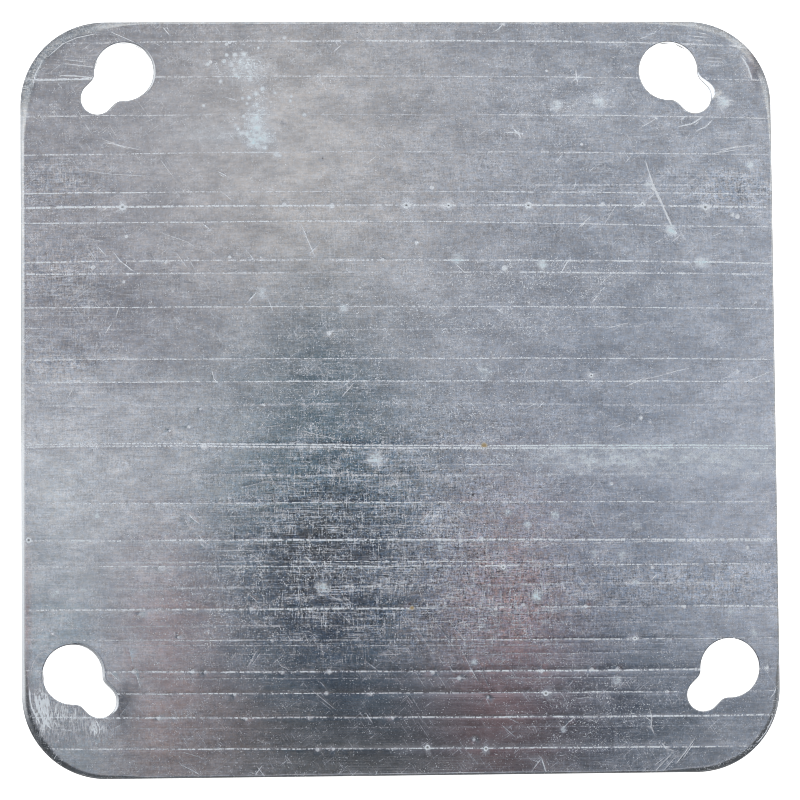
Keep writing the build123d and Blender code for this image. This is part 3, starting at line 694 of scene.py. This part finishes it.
# ------------------------------------------------------------------ sheared walls
count = NF
wall_attr = [np.zeros(NF)]
break_attr = [np.zeros(NF)]
bore_attr = [np.zeros(NF)]
back_loops = []
row_v = 0.684
for li, loop in enumerate(loops):
    lp = P[loop]
    top = co[0][loop, 2]
    n = len(loop)
    e = 1e-3
    if li == 0:
        ox = -(inset(lp[:, 0] + e, lp[:, 1]) - inset(lp[:, 0] - e, lp[:, 1]))
        oy = -(inset(lp[:, 0], lp[:, 1] + e) - inset(lp[:, 0], lp[:, 1] - e))
    else:
        ox = -(slot_gap(lp[:, 0] + e, lp[:, 1]) - slot_gap(lp[:, 0] - e, lp[:, 1]))
        oy = -(slot_gap(lp[:, 0], lp[:, 1] + e) - slot_gap(lp[:, 0], lp[:, 1] - e))
    L = np.maximum(np.hypot(ox, oy), 1e-12)
    out = np.stack([ox / L, oy / L], 1)              # points away from the metal
    seg = np.hypot(*(np.roll(lp, -1, axis=0) - lp).T)
    s = np.r_[0, np.cumsum(seg)]
    total = s[-1]
    ph = s[:-1] / total * 2 * math.pi

    def around(seed, lo, hi, amp):
        g = np.random.default_rng(seed)
        o = np.zeros(n)
        for _ in range(14):
            k = g.integers(lo, hi)
            o += np.sin(k * ph + g.uniform(0, 6.28))
        return amp * o / math.sqrt(7)

    k0 = 12 if li else 60
    burnish = 1.02 + around(11 + li, 2, k0, 0.045) + around(31 + li, k0, 4 * k0, 0.03)
    rows = [(top, np.zeros(n), 0.0)]
    rows.append((top - 0.05, np.zeros(n), 0.0))
    rows.append((mix(top, burnish, 0.5), np.zeros(n), 0.0))
    rows.append((burnish, np.full(n, 0.003), 0.2))
    rows.append((burnish - 0.04, 0.020 + np.abs(around(51 + li, k0, 5 * k0, 0.006)), 1.0))
    for j, f in enumerate((0.30, 0.55, 0.78)):
        dz = around(71 + 10 * li + j, k0, 6 * k0, 0.022)
        rows.append((mix(burnish - 0.04, 0.10, f) + dz,
                     0.028 + 0.022 * f + np.abs(around(171 + 10 * li + j, k0, 6 * k0, 0.011)), 1.0))
    rows.append((np.full(n, 0.085) + around(271 + li, k0, 5 * k0, 0.010), 0.050 + np.abs(around(371 + li, k0, 5 * k0, 0.008)), 1.0))
    rows.append((np.full(n, 0.022), 0.058 + np.abs(around(391 + li, k0, 5 * k0, 0.006)), .6))
    rows.append((np.zeros(n), 0.105 + np.abs(around(471 + li, 3, 3 * k0, 0.012)), 0.0))
    ids = [np.array(loop)]
    for z, d, br in rows[1:]:
        q = lp - out * np.asarray(d)[:, None]
        co.append(np.stack([q[:, 0], q[:, 1], z], 1))
        wall_attr.append(np.ones(n) if z is not rows[-1][0] else np.full(n, 0.3))
        break_attr.append(np.full(n, br))
        bore_attr.append(np.full(n, 1.0 if li else 0.0))
        ids.append(np.arange(count, count + n))
        count += n
    # faces: the metal is on the loop's left, so the wall faces right
    n_rows = 4 if li == 0 else 1
    for r in range(len(ids) - 1):
        a, b = ids[r], ids[r + 1]
        for i in range(n):
            j = (i + 1) % n
            faces.append((a[i], b[i], b[j], a[j]))
            zone.append(1)
            strip = min(n_rows - 1, int(s[i] / total * n_rows))
            s0 = total * strip / n_rows
            if li == 0:
                bu, bv = 0.004, row_v + strip * 0.030
            else:
                bu, bv = 0.004 + (li - 1) % 2 * 0.34, row_v + 0.120 + (li - 1) // 2 * 0.030
            for si, zi in ((s[i], rows[r][0][i]), (s[i], rows[r + 1][0][i]), (s[i + 1], rows[r + 1][0][j]), (s[i + 1], rows[r][0][j])):
                uv.append((bu + (si - s0) * U0, bv + zi * U0 * 2.2))
    back_loops.append((ids[-1], lp - out * rows[-1][1][:, None]))

# ------------------------------------------------------------------ back face
bv2, be2 = [], []
for ids_, q in back_loops:
    base = len(bv2)
    bv2.extend(map(tuple, q))
    be2.extend((base + i, base + (i + 1) % len(q)) for i in range(len(q)))
n_edge = len(bv2)
edge_ids = np.concatenate([b[0] for b in back_loops])
GB = 2.2
bx, by = np.meshgrid(np.arange(-HALF + 1.1, HALF - 1, GB), np.arange(-HALF + 1.1, HALF - 1, GB))
bx[1::2] += GB / 2
bx, by = bx.ravel(), by.ravel()
ok = (inset(bx, by) > 1.0) & (slot_gap(bx, by) > 0.9)
bv2.extend(zip(bx[ok].tolist(), by[ok].tolist()))
out2 = delaunay_2d_cdt([Vector(p) for p in bv2], be2, [], 0, 1e-7, True)
BP, BF, orig = np.array([tuple(v) for v in out2[0]]), np.array(out2[2]), out2[3]
c = BP[BF].mean(1)
BF = BF[(slot_gap(c[:, 0], c[:, 1]) > 0) & (inset(c[:, 0], c[:, 1]) > 0.04)]
bid = np.zeros(len(BP), int)
extra = []
for i, o in enumerate(orig):
    o = [k for k in o if k < n_edge]
    if o:
        bid[i] = edge_ids[o[0]]
    else:
        bid[i] = count
        count += 1
        extra.append((BP[i, 0], BP[i, 1]))
extra = np.array(extra)
bz = 0.010 + 0.7 * (waviness(extra[:, 0] + 31, extra[:, 1] - 17))
bz = np.clip(bz, 0.0, 0.03) * smooth(np.minimum(inset(extra[:, 0], extra[:, 1]), slot_gap(extra[:, 0], extra[:, 1])) / 2)
co.append(np.stack([extra[:, 0], extra[:, 1], bz], 1))
wall_attr.append(np.zeros(len(extra)))
break_attr.append(np.zeros(len(extra)))
bore_attr.append(np.zeros(len(extra)))
area = np.cross(BP[BF[:, 1]] - BP[BF[:, 0]], BP[BF[:, 2]] - BP[BF[:, 0]])
keep = np.abs(area) > 1e-9
BF, area = BF[keep], area[keep]
BF[area > 0] = BF[area > 0][:, ::-1]                  # the back faces down
UB = 0.322 / (2 * HALF)
for f in BF:
    faces.append(tuple(int(bid[i]) for i in f))
    zone.append(2)
    for i in f:
        uv.append((0.672 + (BP[i, 0] + HALF) * UB, 0.004 + (BP[i, 1] + HALF) * UB))

# ------------------------------------------------------------------ the mesh
co = np.concatenate(co)
co[:, 2] = np.clip(co[:, 2], 0.0, T)
mesh = bpy.data.meshes.new("keyhole_plate")
mesh.from_pydata((co * MM).tolist(), [], faces)
mesh.polygons.foreach_set("use_smooth", np.ones(len(faces), bool))
plate = bpy.data.objects.new("keyhole_plate", mesh)
scene.collection.objects.link(plate)

uv_layer = mesh.uv_layers.new(name="OFBake")
uv_layer.data.foreach_set("uv", np.array(uv, np.float32).ravel())

vn = np.zeros(len(mesh.vertices) * 3, np.float32)
mesh.vertex_normals.foreach_get("vector", vn)
vn = vn.reshape(-1, 3).astype(float)
mixn = front_n.copy()
rim = np.concatenate([np.array(l) for l in loops])
outward = vn[rim]
mixn[rim] = front_n[rim] * 0.75 + outward * 0.5
vn[:NF] = mixn / np.linalg.norm(mixn, axis=1)[:, None]
mesh.normals_split_custom_set_from_vertices(vn.tolist())


def put(name, values):
    at = mesh.attributes.new(name, "FLOAT", "POINT")
    at.data.foreach_set("value", np.asarray(values, np.float32))


nv = len(mesh.vertices)
X, Y = co[:, 0], co[:, 1]
is_front = np.arange(nv) < NF
lm, _ = line_at(X, Y)
sm, _ = scratch_at(X, Y)
br, dk, ru, _, pale = spots_at(X, Y)
# painted highlight: the burr beside the upper right slot's neck is real geometry, its near-white sheen is painted
sliver = np.clip(burr(X, Y) * 3, 0, 1) * np.clip((burr_reach(X, Y) - slot_gap(X, Y)) / .08, 0, 1) * np.clip((slot_gap(X, Y) - .06) / .06, 0, 1)
put("dark", np.where(is_front, dk, 0))
put("rust", np.where(is_front, ru, 0))
put("hatch", np.where(is_front, np.clip(blobs(HATCH, X, Y), -.4, 1.2), 0.25))
put("haze", np.where(is_front, np.clip(np.maximum(blobs(HAZE, X, Y), pale), 0, 1), 0))
put("smudge_and_shade", np.where(is_front, np.clip(blobs(SMUDGES_AND_DENT_SHADE, X, Y), 0, 1), 0))
# painted shade: a dark band on the die roll round the corners, stronger at some corners than others
ew = edge_shape(X, Y)[0] * np.where((X > 0) & (Y > 0), .75, 1.0)
band = np.clip((1.12 - inset(X, Y) / ew) / .25, 0, 1) * smooth((np.minimum(np.abs(X), np.abs(Y)) - (HALF - R - 1.5)) / 4)
band *= np.clip(inset(X, Y) / .12 + .25, 0, 1)
band_shade_by_corner = np.where(Y > 0, np.where(X > 0, .45, .9), np.where(X > 0, .16, mix(.9, .22, lower_side(X, Y))))
# round the slots painted shade draws the rim as a thin dark line; on the far side of two of them a painted highlight
# lies on the drawn-down roll inside that line
gap = np.maximum(slot_gap(X, Y), 0)
drawn_side = drawn_roll(X, Y)
rim_at = .42 * drawn_side
thin = np.clip(1 - np.abs(gap - rim_at) / .13, 0, 1) * np.where(Y < 0, np.where(X < 0, .85, .6), np.where(X < 0, .5, .12))
roll_highlight = drawn_side * np.clip((rim_at - gap) / .08, 0, 1) * (gap < .45)
# painted highlight: a pale strip along the die roll of the left edge, strongest in the lower half
left_edge_highlight = np.clip((.50 - inset(X, Y)) / .16, 0, 1) * (X < 0) * np.clip((R + 7 - HALF + np.abs(Y)) * -.2 + np.where(Y < 0, 2.4, 1.6), 0, 1) * np.where(Y > 0, .45, mix(.55, 1.0, smooth((-Y - 3) / 5)))
# painted highlight: lines and scratches are made stronger, so lighter and rougher, where the overhead reflection makes
# the metal look dark
reflected_tone = 166 - 62 * np.exp(-0.5 * (((X + 4) / 25) ** 2 + ((Y + 34) / 15) ** 2))
reflection_gain = 40 / (206 - reflected_tone) * (1 - .2 * np.exp(-0.5 * (((X + 2) / 16) ** 2 + ((Y + 42) / 7) ** 2)))
put("speckle", np.where(is_front, np.clip(blobs(SPECKLE, X, Y) + band * 1.1, 0, 1.4), 0.3))
put("rolled", np.where(is_front, lm * reflection_gain * (1 - .65 * band), 0))
put("scratched", np.where(is_front, np.maximum(sm, br) * reflection_gain ** .7, 0))
put("painted_highlight", np.where(is_front, np.clip(np.maximum(np.maximum(sliver, roll_highlight), left_edge_highlight), 0, 1), 0))
put("streak", np.where(is_front, np.clip(blobs(STREAK, X, Y), 0, 1.2), 0))
# painted shade: corner bands, slot rim lines and dents
put("painted_shade", np.where(is_front, np.clip(np.maximum(band * band_shade_by_corner, thin) + blobs(DENT_SHADE, X, Y), 0, 1), 0))
put("warm_reflection", np.where(is_front, np.clip(blobs(WARM_REFLECTION, X, Y), 0, 1), 0))
put("bore", np.concatenate(bore_attr))
put("wall", np.concatenate(wall_attr))
put("torn", np.concatenate(break_attr))
back = np.zeros(nv)
back[np.unique(bid)] = 1
put("back", back)

# ------------------------------------------------------------------ node helpers
class Tree:
    def __init__(self, tree):
        self.t = tree
        tree.nodes.clear()

    def node(self, kind, **props):
        n = self.t.nodes.new(kind)
        for k, v in props.items():
            setattr(n, k, v)
        return n

    def put(self, socket, value):
        if isinstance(value, bpy.types.NodeSocket):
            self.t.links.new(value, socket)
        else:
            socket.default_value = value

    def math(self, op, a, b=None, clamp=False):
        n = self.node("ShaderNodeMath", operation=op, use_clamp=clamp)
        self.put(n.inputs[0], a)
        if b is not None:
            self.put(n.inputs[1], b)
        return n.outputs[0]

    def add(self, a, b, clamp=False):
        return self.math("ADD", a, b, clamp)

    def mul(self, a, b):
        return self.math("MULTIPLY", a, b)

    def attr(self, name):
        return self.node("ShaderNodeAttribute", attribute_name=name).outputs["Fac"]

    def scaled(self, vec, x, y, z, move=(0, 0, 0), turn=0.0):
        n = self.node("ShaderNodeMapping")
        self.put(n.inputs["Vector"], vec)
        if turn:
            r = self.node("ShaderNodeMapping")
            r.inputs["Rotation"].default_value = (0, 0, math.radians(turn))
            self.put(r.inputs["Vector"], vec)
            self.put(n.inputs["Vector"], r.outputs[0])
        n.inputs["Location"].default_value = move
        n.inputs["Scale"].default_value = (1 / x, 1 / y, 1 / z)
        return n.outputs[0]

    def noise(self, vec, detail=1.0, rough=0.5, scale=1.0):
        n = self.node("ShaderNodeTexNoise")
        self.put(n.inputs["Vector"], vec)
        n.inputs["Scale"].default_value = scale
        n.inputs["Detail"].default_value = detail
        n.inputs["Roughness"].default_value = rough
        return n.outputs["Fac"]

    def ramp(self, v, a, b, lo=0.0, hi=1.0, smooth=True):
        n = self.node("ShaderNodeMapRange", interpolation_type="SMOOTHSTEP" if smooth else "LINEAR", clamp=True)
        self.put(n.inputs["Value"], v)
        for k, q in zip(("From Min", "From Max", "To Min", "To Max"), (a, b, lo, hi)):
            self.put(n.inputs[k], q)
        return n.outputs["Result"]

    def mixc(self, f, a, b, blend="MIX"):
        n = self.node("ShaderNodeMix", data_type="RGBA", blend_type=blend, clamp_factor=True)
        self.put(n.inputs["Factor"], f)
        for s, v in ((n.inputs[6], a), (n.inputs[7], b)):
            self.put(s, v if isinstance(v, bpy.types.NodeSocket) else (*v, 1.0) if len(v) == 3 else v)
        return n.outputs[2]

    def mixf(self, f, a, b):
        n = self.node("ShaderNodeMix", data_type="FLOAT", clamp_factor=True)
        self.put(n.inputs["Factor"], f)
        self.put(n.inputs[2], a)
        self.put(n.inputs[3], b)
        return n.outputs[0]


# ------------------------------------------------------------------ zinc
zinc = bpy.data.materials.new("galvanised_zinc")
zinc.use_nodes = True
g = Tree(zinc.node_tree)
out_node = g.node("ShaderNodeOutputMaterial")
bsdf = g.node("ShaderNodeBsdfPrincipled")
g.t.links.new(bsdf.outputs[0], out_node.inputs["Surface"])
bsdf.inputs["Metallic"].default_value = 0.86

obj = g.node("ShaderNodeTexCoord").outputs["Object"]
mm = g.node("ShaderNodeVectorMath", operation="SCALE")
g.put(mm.inputs[0], obj)
mm.inputs["Scale"].default_value = 1000.0
# the back carries the same kind of marks in other places
shift = g.node("ShaderNodeCombineXYZ")
g.put(shift.inputs[0], g.mul(g.attr("back"), 137.0))
g.put(shift.inputs[1], g.mul(g.attr("back"), 61.0))
pos = g.node("ShaderNodeVectorMath", operation="ADD")
g.put(pos.inputs[0], mm.outputs[0])
g.put(pos.inputs[1], shift.outputs[0])
p = pos.outputs[0]

hatch, speckle, haze, smudge_and_shade = g.attr("hatch"), g.attr("speckle"), g.attr("haze"), g.attr("smudge_and_shade")

# patches a few millimetres across in which the fine marks gather
patch = g.noise(g.scaled(p, 5.0, 2.2, 9), 3, 0.6)
patch2 = g.noise(g.scaled(p, 2.0, 1.2, 9, (7, 3, 0)), 2, 0.6)

# streaks along the rolling direction
n1 = g.noise(g.scaled(p, 8.0, 0.17, 3), 1, 0.5)
n2 = g.noise(g.scaled(p, 1.8, 0.13, 3, (31, 5, 0)), 1, 0.5)
along = g.mul(g.add(g.mul(g.ramp(n1, .54, .68), .55), g.mul(g.ramp(n2, .54, .70), 1.0)), g.ramp(patch, .35, .62, .35, 1.0))
# streaks across it
n3 = g.noise(g.scaled(p, 0.15, 2.2, 3, (3, 17, 0)), 1, 0.5)
n4 = g.noise(g.scaled(p, 0.13, 0.7, 3, (13, 8, 0)), 1, 0.5)
across = g.mul(g.add(g.ramp(n3, .56, .70), g.mul(g.ramp(n4, .57, .71), 0.9)), g.ramp(patch2, .38, .62, .25, 1.0))
# both together where the sheet was rubbed
rub = g.add(g.mul(along, g.add(g.mul(hatch, .22), .10)), g.mul(across, g.add(g.mul(hatch, .20), .09)))
# specks
n5 = g.noise(g.scaled(p, 0.30, 0.12, 3, (2, 9, 0)), 1, 0.6)
n10 = g.noise(g.scaled(p, 0.12, 0.26, 3, (2, 19, 0)), 1, 0.6)
speck_at = g.mixf(speckle, 0.695, 0.62)
specks = g.mul(g.ramp(g.math("SUBTRACT", g.math("MAXIMUM", n5, n10), speck_at), 0.0, 0.07), g.mul(g.ramp(patch2, .40, .60, .3, 1.0), .86))
# hair scratches in two slanting directions
n6 = g.noise(g.scaled(p, 2.4, 0.12, 3, (0, 4, 0), 57), 0, 0.5)
n7 = g.noise(g.scaled(p, 2.0, 0.12, 3, (9, 1, 0), -38), 0, 0.5)
hair = g.mul(g.add(g.ramp(n6, .72, .82), g.ramp(n7, .73, .83)), g.ramp(patch, .42, .60, .04, .25))
# rolling lines break up into dashes
n8 = g.noise(g.scaled(p, 0.30, 0.7, 3, (1, 2, 0)), 2, 0.65)
n9 = g.noise(g.scaled(p, 3.2, 0.8, 3, (6, 2, 0)), 1, 0.5)
rolled = g.attr("rolled")
dash = g.mul(g.ramp(n8, .40, .58, .12, 1.45), g.ramp(n9, .34, .54, .45, 1.2))
lines = g.mul(g.mul(rolled, dash), 2.1)
scratched = g.mul(g.attr("scratched"), g.ramp(n8, .30, .52, .75, 1.6))

v1 = g.noise(g.scaled(p, 0.15, 0.9, 3, (4, 14, 0)), 1, 0.55)
mott = g.noise(g.scaled(p, .50, .38, 3, (5, 6, 0)), 3, 0.65)
streak = g.mul(g.attr("streak"), g.ramp(v1, .40, .62, .08, 1.5))
soft = g.mul(g.add(g.add(rub, specks), hair), g.math("SUBTRACT", 1.0, g.mul(g.attr("painted_shade"), .6)))
marks = g.add(soft, g.add(lines, g.add(scratched, streak)))
film = g.add(g.mul(haze, g.mul(g.ramp(patch2, .3, .7, .6, 1.2), g.ramp(mott, .32, .68, .35, 1.2))), g.mul(g.ramp(patch, .40, .75), .06))
total = g.math("MINIMUM", g.add(marks, film), 1.0)

# colour
cloud = g.noise(g.scaled(p, 6.0, 3.6, 9, (5, 1, 0)), 6, 0.68)
cloud2 = g.noise(g.scaled(p, 2.6, 0.9, 9, (8, 8, 0)), 3, 0.6)
# grey films, and painted shade in the dent by the lower left slot's neck
smear_and_shade = g.mul(smudge_and_shade, g.ramp(cloud2, .36, .56, .25, 1.0))
clean = g.mixc(g.ramp(cloud, .36, .64), (.385, .391, .399), (.508, .511, .514))
clean = g.mixc(g.mul(g.ramp(cloud2, .42, .30), .35), clean, (.335, .342, .354))
clean = g.mixc(g.mul(smear_and_shade, .55), clean, (.235, .238, .242))
# a fine weave of both directions, a grain and a mottle, lighter and darker alike
h1 = g.noise(g.scaled(p, 1.3, 0.15, 3, (21, 4, 0)), 1, 0.55)
f1 = g.noise(g.scaled(p, 0.17, 0.15, 3, (4, 4, 0)), 0, 0.5)
c3 = g.noise(g.scaled(p, 1.3, 0.55, 3, (9, 4, 0)), 2, 0.6)
weave = g.add(g.add(g.mul(h1, .64), g.mul(v1, .70)), g.mul(f1, .74))
weave = g.mul(g.math("SUBTRACT", weave, 1.05), g.mul(g.add(g.mul(hatch, 1.45), .67), g.ramp(patch, .35, .65, .65, 1.25)))
mottle = g.add(g.mul(g.math("SUBTRACT", c3, .5), .55), g.mul(g.mul(g.math("SUBTRACT", patch, .5), hatch), .55))
clean = g.mixc(1.0, clean, g.add(g.add(weave, mottle), 1.0), "MULTIPLY")
tone = g.noise(g.scaled(p, .45, .30, 3, (2, 6, 0)), 2, 0.6)
cast = g.mixc(g.ramp(tone, .34, .66), (1.10, 1.0, .89), (.90, 1.0, 1.10))
clean = g.mixc(g.add(g.mul(hatch, .60), .38), clean, g.mixc(1.0, clean, cast, "MULTIPLY"))
# painted reflection: a warm brown cast in the base colour
clean = g.mixc(g.mul(g.attr("warm_reflection"), g.ramp(v1, .35, .6, .4, 1.0)), clean, g.mixc(1.0, clean, (.92, .68, .62), "MULTIPLY"))
# painted shade: darkens the zinc in the corner bands, along the slot rims and in the dents
clean = g.mixc(g.mul(g.attr("painted_shade"), g.ramp(g.mul(g.add(f1, mott), .5), .36, .60, .35, 1.1)), clean, g.mixc(1.0, clean, (.34, .365, .40), "MULTIPLY"))
# painted highlight: near-white colour and lower roughness on the burr, the drawn roll and the left edge strip
painted_highlight = g.attr("painted_highlight")
col = g.mixc(g.math("MAXIMUM", total, painted_highlight), clean, g.mixc(g.mul(haze, .9), (.965, .985, 1.0), (.86, .975, 1.0)))
wall, torn, dark, rust = g.attr("wall"), g.attr("torn"), g.attr("dark"), g.attr("rust")
stria = g.noise(g.scaled(p, 0.12, 0.12, 4.0), 2, 0.6)
grit = g.noise(g.scaled(p, 0.14, 0.14, 0.10), 2, 0.6)
steel = g.mixc(g.ramp(stria, .35, .65), (.44, .43, .42), (.66, .655, .64))
steel = g.mixc(torn, steel, g.mixc(g.ramp(grit, .35, .65), (.20, .195, .19), (.42, .41, .395)))
# painted light: the slot walls get a lighter copy of the sheared steel, so they read as lit
steel = g.mixc(g.attr("bore"), steel, g.mixc(g.ramp(stria, .35, .65), (.78, .785, .79), (.90, .905, .91)))
col = g.mixc(wall, col, steel)
col = g.mixc(dark, col, (.05, .05, .055))
col = g.mixc(rust, col, (.56, .42, .20))
g.put(bsdf.inputs["Base Color"], col)

rough = g.mixf(g.ramp(total, 0.0, 0.9, 0, 1, False), 0.095, 0.60)
rough = g.add(rough, g.add(g.mul(smear_and_shade, .05), g.ramp(total, .75, 1.0, 0, .4)))
rough = g.mixf(painted_highlight, rough, .28)
edge_rough = g.mixf(torn, g.ramp(stria, .3, .7, .24, .40), .62)
rough = g.mixf(wall, rough, edge_rough)
rough = g.mixf(g.math("MAXIMUM", dark, rust), rough, .8)
g.put(bsdf.inputs["Roughness"], rough)

# fine relief: marks bite in by a few microns, the torn edge is coarse
bump = g.node("ShaderNodeBump")
bump.inputs["Strength"].default_value = 1.0
bump.inputs["Distance"].default_value = 0.001
relief = g.add(g.mul(g.ramp(n1, .45, .75), -0.0008), g.mul(g.mul(torn, grit), 0.05))
relief = g.add(relief, g.add(g.mul(g.mul(wall, stria), 0.012), g.mul(streak, -0.016)))
g.put(bump.inputs["Height"], relief)
g.put(bsdf.inputs["Normal"], bump.outputs[0])

mesh.materials.append(zinc)
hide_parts("cover_plate")
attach(plate, "root")

# ------------------------------------------------------------------ studio
def stage_object(name, me, mat):
    me.materials.append(mat)
    o = bpy.data.objects.new(name, me)
    scene.collection.objects.link(o)
    return o


floor_mat = bpy.data.materials.new("studio_floor")
floor_mat.use_nodes = True
f = Tree(floor_mat.node_tree)
fo = f.node("ShaderNodeOutputMaterial")
fb = f.node("ShaderNodeBsdfPrincipled")
fb.inputs["Base Color"].default_value = (.90, .90, .90, 1)
fb.inputs["Roughness"].default_value = 0.9
fb.inputs["Specular IOR Level"].default_value = 0.1
fb.inputs["Emission Color"].default_value = (1, 1, 1, 1)
fb.inputs["Emission Strength"].default_value = 0.95
f.t.links.new(fb.outputs[0], fo.inputs["Surface"])
fm = bpy.data.meshes.new("floor")
ring = [(3.2 * math.cos(a), 3.2 * math.sin(a), -0.00002) for a in np.linspace(0, 2 * math.pi, 65)[:-1]]
fm.from_pydata(ring, [], [tuple(range(64))])
stage_object("floor", fm, floor_mat)


def glow(name, colour=None, strength=1.0, attribute=None):
    m = bpy.data.materials.new(name)
    m.use_nodes = True
    m.cycles.emission_sampling = "NONE"
    t = Tree(m.node_tree)
    o = t.node("ShaderNodeOutputMaterial")
    e = t.node("ShaderNodeEmission")
    e.inputs["Strength"].default_value = strength
    if attribute:
        t.put(e.inputs["Color"], t.node("ShaderNodeAttribute", attribute_name=attribute).outputs["Color"])
    else:
        e.inputs["Color"].default_value = (*colour, 1)
    t.t.links.new(e.outputs[0], o.inputs["Surface"])
    return m


# What hangs over the plate: a bright soft ceiling, and in it the broad blurred shapes
# of a camera on its stand, of darker walls and of two warm and one cool surface.
# x, y, spreads, and how much light each adds or takes away.
OVERHEAD = (
    (0, -10, 23, 30, -.44, -.39, -.40),      # the camera
    (0, 45, 6, 20, -.20, -.18, -.18),        # its stand
    (0, -80, 75, 20, -.21, -.22, -.26),      # wall below
    (85, -60, 70, 15, -.19, -.19, -.21),     # its darker right end
    (75, -10, 25, 55, -.15, -.14, -.14),     # wall at the right
    (-70, 10, 60, 15, .17, .18, .18),        # bright window at the left
    (-5, 90, 25, 35, .14, .12, .09),         # bright ceiling at the top
    (-55, 45, 20, 15, -.12, -.12, -.12),     # shade at the upper left
    (-70, -20, 10, 15, -.10, -.12, -.15),    # shade at the left
    (50, -35, 10, 25, .11, .01, -.01),       # warm at the right
    (-45, -45, 10, 25, .05, -.02, -.04),       # warm at the lower left
    (-70, -45, 10, 30, .00, .08, .11),       # cool at the left
)
N_CARD, CARD_Z = 190, 462.0
s_ = np.linspace(-330, 330, N_CARD)
cxg, cyg = np.meshgrid(s_ + 22.4, s_ + 27.4)
px_, py_ = (cxg - 22.4) / 2.04 * 7.42, -(cyg - 27.4) / 2.04 * 7.42
u_, v_ = np.clip(px_ / 400, -1.1, 1.1), np.clip(py_ / 400, -1.1, 1.1)
light = np.stack([
    0.28 + 0.02 * u_ + 0.06 * v_,
    0.29 + 0.03 * u_ + 0.06 * v_,
    0.33 + 0.04 * u_ + 0.07 * v_], -1)
for bx_, by_, sx_, sy_, *rgb in OVERHEAD:
    w_ = np.exp(-0.5 * (((cxg - bx_ ) / sx_) ** 2 + ((cyg - by_) / sy_) ** 2))
    light += w_[..., None] * np.array(rgb)
light = np.clip(light, 0.004, None) / 0.36
# past the plate's own reflection it dims, most of all towards the front
dx_, dy_ = cxg - 22.4, cyg - 27.4
far = smooth((np.hypot(dx_, dy_) - 135) / 70)[..., None]
front = smooth((-dy_ / np.maximum(np.hypot(dx_, dy_), 1) + .35) / 1.0)[..., None]
light = mix(light, mix(np.array([1.32, 1.35, 1.39]), np.array([.085, .098, .115]), front), far)
cm = bpy.data.meshes.new("overhead")
idx = np.arange(N_CARD * N_CARD).reshape(N_CARD, N_CARD)
quads = np.stack([idx[:-1, :-1], idx[1:, :-1], idx[1:, 1:], idx[:-1, 1:]], -1).reshape(-1, 4)
cm.from_pydata(np.stack([cxg.ravel(), cyg.ravel(), np.full(cxg.size, CARD_Z)], 1).__mul__(MM).tolist(), [], quads.tolist())
ca = cm.attributes.new("light", "FLOAT_COLOR", "POINT")
ca.data.foreach_set("color", np.concatenate([light.reshape(-1, 3), np.ones((light.size // 3, 1))], 1).astype(np.float32).ravel())
card = stage_object("overhead", cm, glow("overhead_light", attribute="light"))
card.visible_camera = False
card.visible_shadow = False

# a low grey wall far out, which the camera doesn't see: it keeps the metal grey at low angles
wm = bpy.data.meshes.new("surround")
wa = np.linspace(0, 2 * math.pi, 49)[:-1]
wv = [(2.6 * math.cos(a), 2.6 * math.sin(a), z) for z in (0.001, 0.62) for a in wa]
wm.from_pydata(wv, [], [(i, (i + 1) % 48, 48 + (i + 1) % 48, 48 + i) for i in range(48)])
surround = stage_object("surround", wm, glow("surround_light", (.40, .41, .43)))
surround.visible_camera = False
surround.visible_diffuse = False
surround.visible_shadow = False

# world: bright overhead, a broad window glow behind the plate, dark towards the front
world = bpy.data.worlds.new("studio")
scene.world = world
world.use_nodes = True
w = Tree(world.node_tree)
wo = w.node("ShaderNodeOutputWorld")
bg = w.node("ShaderNodeBackground")
w.t.links.new(bg.outputs[0], wo.inputs["Surface"])
sep = w.node("ShaderNodeSeparateXYZ")
w.put(sep.inputs[0], w.node("ShaderNodeTexCoord").outputs["Generated"])
wx, wy, wz = sep.outputs
base = w.add(w.ramp(wz, .10, .24, 1.0, .46), w.ramp(wz, .35, .85, .0, .39))
toward = w.mul(w.ramp(wy, -.35, .75, .0, 1.0), w.ramp(wz, .12, .35, .0, 1.0))
away = w.mul(w.ramp(wy, .10, -.55, .0, 1.0), w.mul(w.ramp(wz, .28, .62, .0, 1.0), w.ramp(wz, .93, .80, .0, 1.0)))
lightness = w.add(base, w.mul(toward, .30))
lightness = w.mul(lightness, w.math("SUBTRACT", 1.0, w.mul(away, .78)))
colour = w.node("ShaderNodeCombineColor")
w.put(colour.inputs[0], w.mul(lightness, w.ramp(wz, .12, .30, 1.02, .97)))
w.put(colour.inputs[1], w.mul(lightness, w.ramp(wz, .12, .30, 1.02, .995)))
w.put(colour.inputs[2], w.mul(lightness, 1.03))
w.put(bg.inputs["Color"], colour.outputs[0])
bg.inputs["Strength"].default_value = 1.0

bpy.context.view_layer.update()
